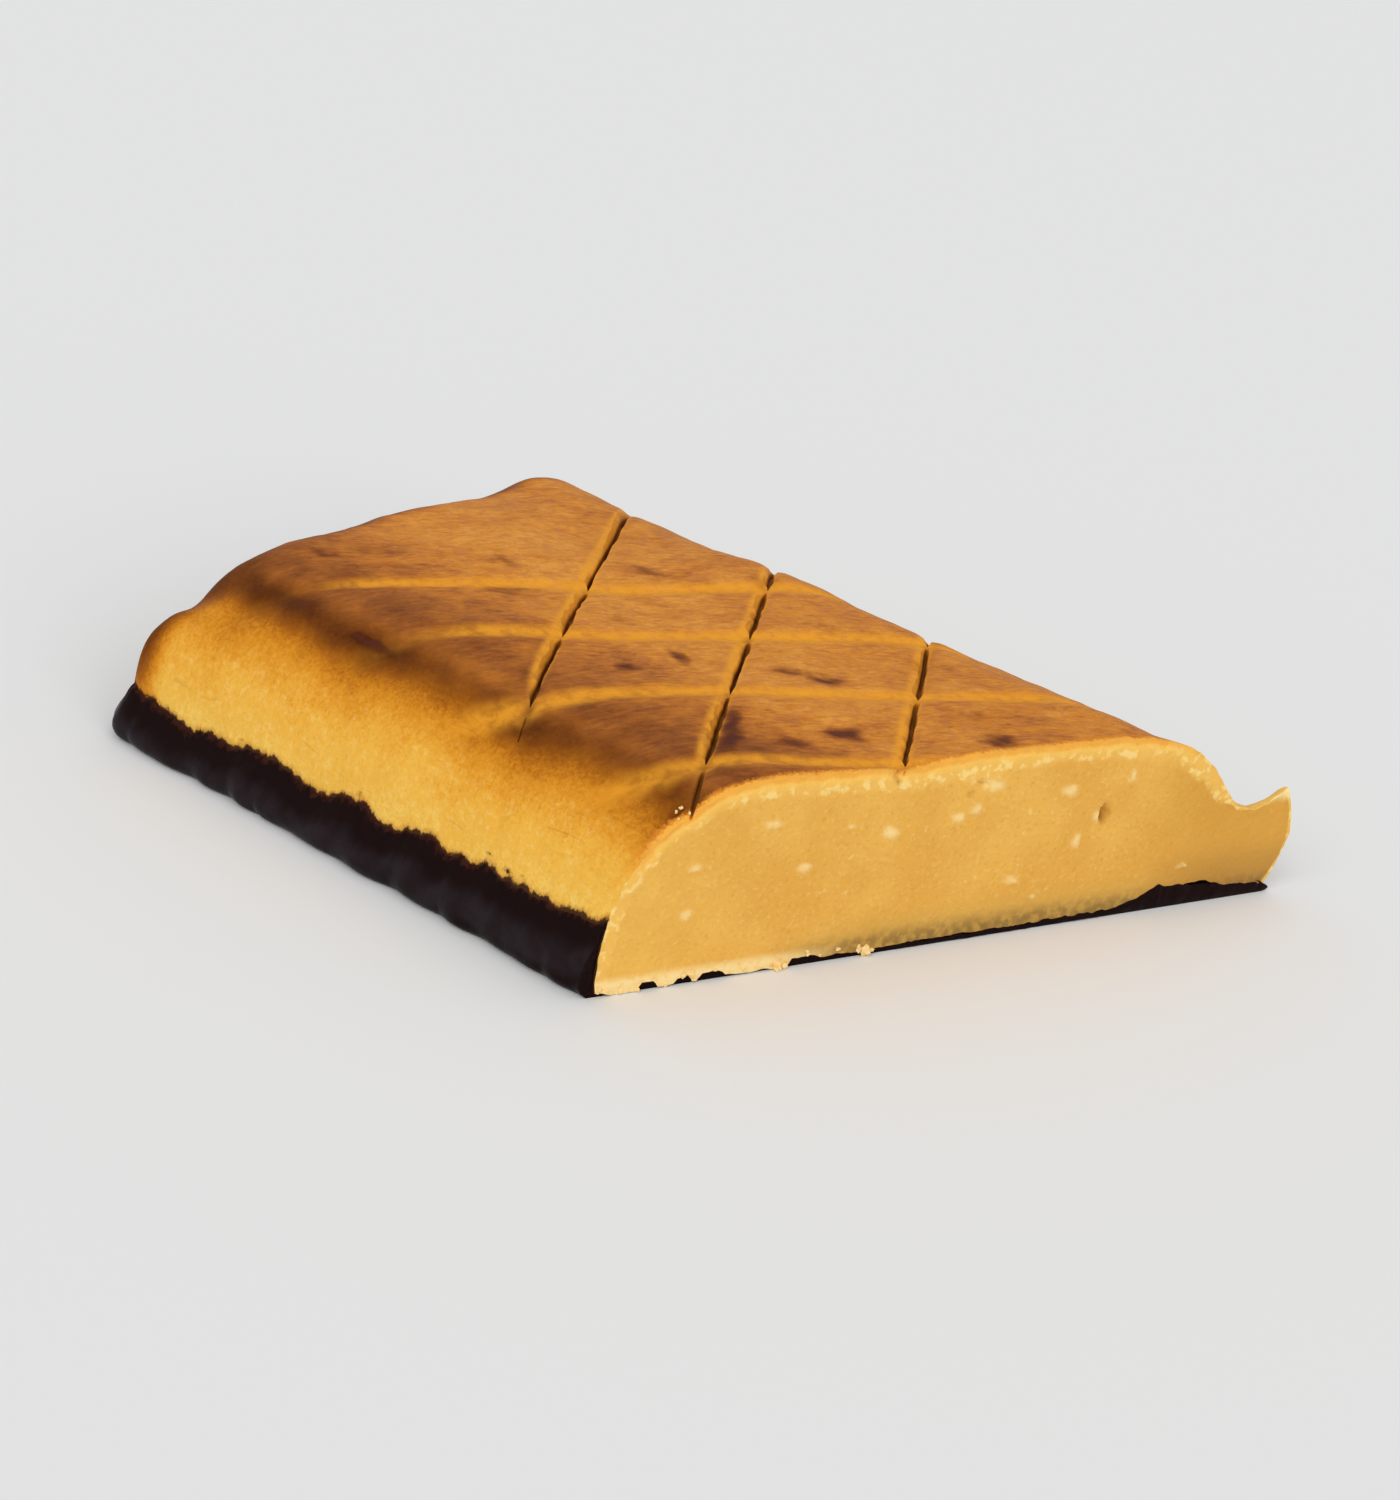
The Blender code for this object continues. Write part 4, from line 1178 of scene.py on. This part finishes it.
def cut_finish():
    """Cut marzipan: straw with grain and almond bits, a cream rim and gold under the crust."""
    r = Recipe("cut_marzipan", CUT_SHADES)
    where = r.place()
    high, along = r.mark("high"), r.mark("along")
    fine = r.noise(where, 0.42, 4, 0.65)
    dots = r.noise(where, 0.9, 2, 0.5)
    r.wash("straw", (r.noise(where, 7, 2, 0.5), 0.35, 0.65))
    r.wash("light grain", (fine, 0.53, 0.72, 0.55))
    r.wash("dark grain", (fine, 0.45, 0.28, 0.55))
    r.wash("dot", (dots, 0.68, 0.78, 0.5))

    # Lighter at the near end; painted shade, browner low down and at the far end, darker flecked above
    # the chocolate
    r.wash("near end", (along, 16, 2, 0.28))
    r.wash("low", (high, 5, 1.2), (along, 14, 30, 0.7))
    r.wash("far end", (along, 52, 64, 0.7))
    r.wash("low far end", (high, 7, 2.5), (along, 54, 66, 0.7))
    # Painted shade: darker flecks just above the chocolate, from s 15 to 26
    r.wash("shade above chocolate", (high, 3, 1), (along, 15, 26), (dots, 0.34, 0.6, 0.85, 0.35))

    # The rim: cream and crumbled, then gold and brown where the crust was cut through
    toast = r.times((r.mark("toast"), 0.22, 0.5), (along, 62, 55))
    edge = r.plus(r.mark("edge"), r.swing(r.noise(where, 1, 4, 0.65), 1))
    rind = r.plus(r.mark("rind"), r.swing(fine, 0.6))
    r.wash("rim", (edge, 1.25, 0.65, 0.88))
    r.wash("rim bit", (edge, 1.15, 0.8), (dots, 0.48, 0.62, 0.75))
    r.wash("rind", (rind, 1.25, 0.5, 0.85), toast)
    r.wash("gold", (rind, 0.6, 0.18, 0.7), toast)
    r.wash("tip", (high, 9.4, 10.8), (along, 67, 69.5, 0.9))

    # The foot's tongues, the flecks, and painted shade in the holes
    r.wash("foot", (high, 1.9, 0.9), (along, 26, 16), (dots, 0.3, 0.5, 0.9, 0.5))
    r.wash("fleck", r.mark("fleck"), 0.8)
    r.wash("hole", r.mark("hole"))
    return r.finish([(fine, 0.09), (dots, 0.08)], 0.62, 0.08)


CHOCOLATE_SHADES = {"black": (19, 6, 6), "brown": (26, 9, 8), "painted sheen": (40, 32, 36),
                    "thin": (72, 33, 22)}


def chocolate_finish():
    """Dark chocolate: satin near-black brown, painted sheen low down, thin reddish edge where it
    feathers out.
    """
    r = Recipe("dark_chocolate", CHOCOLATE_SHADES)
    where = r.place()
    cloud = r.noise(where, 2.4, 3, 0.5)
    fine = r.noise(where, 0.3, 3, 0.6)
    bristle = r.noise(r.place(0, (1, 1, 0.35)), 0.45, 3, 0.6)
    below = r.mark("under_edge")
    near_edge = r.plus(below, r.swing(bristle, 1.6))
    r.wash("brown", cloud)
    # Painted sheen: a lighter, bluish band from 1.6 to 5.6 mm under the edge that stands in for a
    # reflection
    r.wash("painted sheen", (below, 1.6, 3.4), (below, 5.6, 4.4), (cloud, 0.35, 0.65, 1, 0.5))
    r.wash("thin", (near_edge, 0.55, 0, 0.6))
    return r.finish([(cloud, 0.14), (fine, 0.015)], r.ease(near_edge, 0.2, 2.8, 0.3, 0.6), 0.05)


def crumb_finish():
    """Crumbs of almond and marzipan: cream, a little uneven."""
    r = Recipe("almond_crumb", {"almond": (252, 226, 162), "marzipan": (244, 204, 128)})
    patch = r.noise(r.place(), 0.5, 3, 0.6)
    r.wash("marzipan", patch)
    return r.finish([(patch, 0.08)], 0.7, 0.5)


# Stage: a wide floor, a pale world and three soft suns, each as where it comes from, strength
FLOOR_SIZE = 9.0
FLOOR_TONE = (233, 233, 232)
WORLD_TONE = (0.98, 0.99, 1, 1)
WORLD_STRENGTH = 0.66
SUN_WIDTH = math.radians(36)
SUNS = {
    "key": ((0.06, -0.72, 0.69), 0.78),
    "fill": ((0.86, -0.32, 0.45), 0.66),
    "top": ((-0.25, 0.28, 0.93), 0.08),
}

# Camera: where it stands, its direction and its roll, as found from the photograph's perspective
CAMERA_AT = (127.48, -181.56, 113.67)
CAMERA_AZIMUTH = math.radians(35.13)
CAMERA_ELEVATION = math.radians(25.8)
CAMERA_ROLL = math.radians(8.76)
CAMERA_LENS = 63.8

# Angles past which an edge of the loaf and of the coat stays sharp, in degrees
LOAF_SHARP = 45
COAT_SHARP = 50


def make_stage():
    """A square floor and an even, pale world."""
    half = FLOOR_SIZE / 2 / MM
    corners = [(-half, -half, 0), (half, -half, 0), (half, half, 0), (-half, half, 0)]
    finish = Recipe("floor", {"floor": FLOOR_TONE}).finish([], 0.9, 0.1)
    put_mesh("floor", corners, [[[0, 1, 2, 3]]], [finish])
    world = bpy.data.worlds.new("pale")
    world.use_nodes = True
    background = world.node_tree.nodes["Background"]
    background.inputs["Color"].default_value = WORLD_TONE
    background.inputs["Strength"].default_value = WORLD_STRENGTH
    bpy.context.scene.world = world
    bpy.context.scene.view_settings.view_transform = "Standard"


def make_lights():
    for name, (source, strength) in SUNS.items():
        lamp = bring_in(name, bpy.data.lights.new(name, "SUN"))
        lamp.data.energy = strength
        lamp.data.angle = SUN_WIDTH
        lamp.rotation_euler = Vector(source).to_track_quat("Z", "Y").to_euler()


def make_camera():
    """Looks along its azimuth and elevation, then rolls about its own axis."""
    level = math.cos(CAMERA_ELEVATION)
    back = Vector((math.sin(CAMERA_AZIMUTH) * level, -math.cos(CAMERA_AZIMUTH) * level,
                   math.sin(CAMERA_ELEVATION)))
    right = Vector((0, 0, 1)).cross(back).normalized()
    turn = Matrix((right, back.cross(right), back)).transposed()
    turn = turn @ Matrix.Rotation(CAMERA_ROLL, 3, "Z")
    camera = bring_in("camera", bpy.data.cameras.new("camera"))
    camera.data.sensor_width = 36.0
    camera.data.lens = CAMERA_LENS
    camera.data.clip_start = 0.01
    camera.data.clip_end = 30.0
    camera.matrix_world = Matrix.Translation(Vector(CAMERA_AT) * MM) @ turn.to_4x4()
    bpy.context.scene.camera = camera


def main():
    make_camera()
    loaf, outline = loaf_body(crust_finish(), cut_finish())
    cut_slits(loaf)
    paint_loaf(loaf.data, outline)
    smooth(loaf.data, LOAF_SHARP)
    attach(loaf, BODY)
    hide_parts("marzipan")
    coat = make_coat(chocolate_finish())
    smooth(coat.data, COAT_SHARP)
    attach(coat, BODY)
    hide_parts("chocolate_coat")
    crumbs = make_crumbs(crumb_finish())
    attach(crumbs, BODY)
    make_stage()
    make_lights()


main()
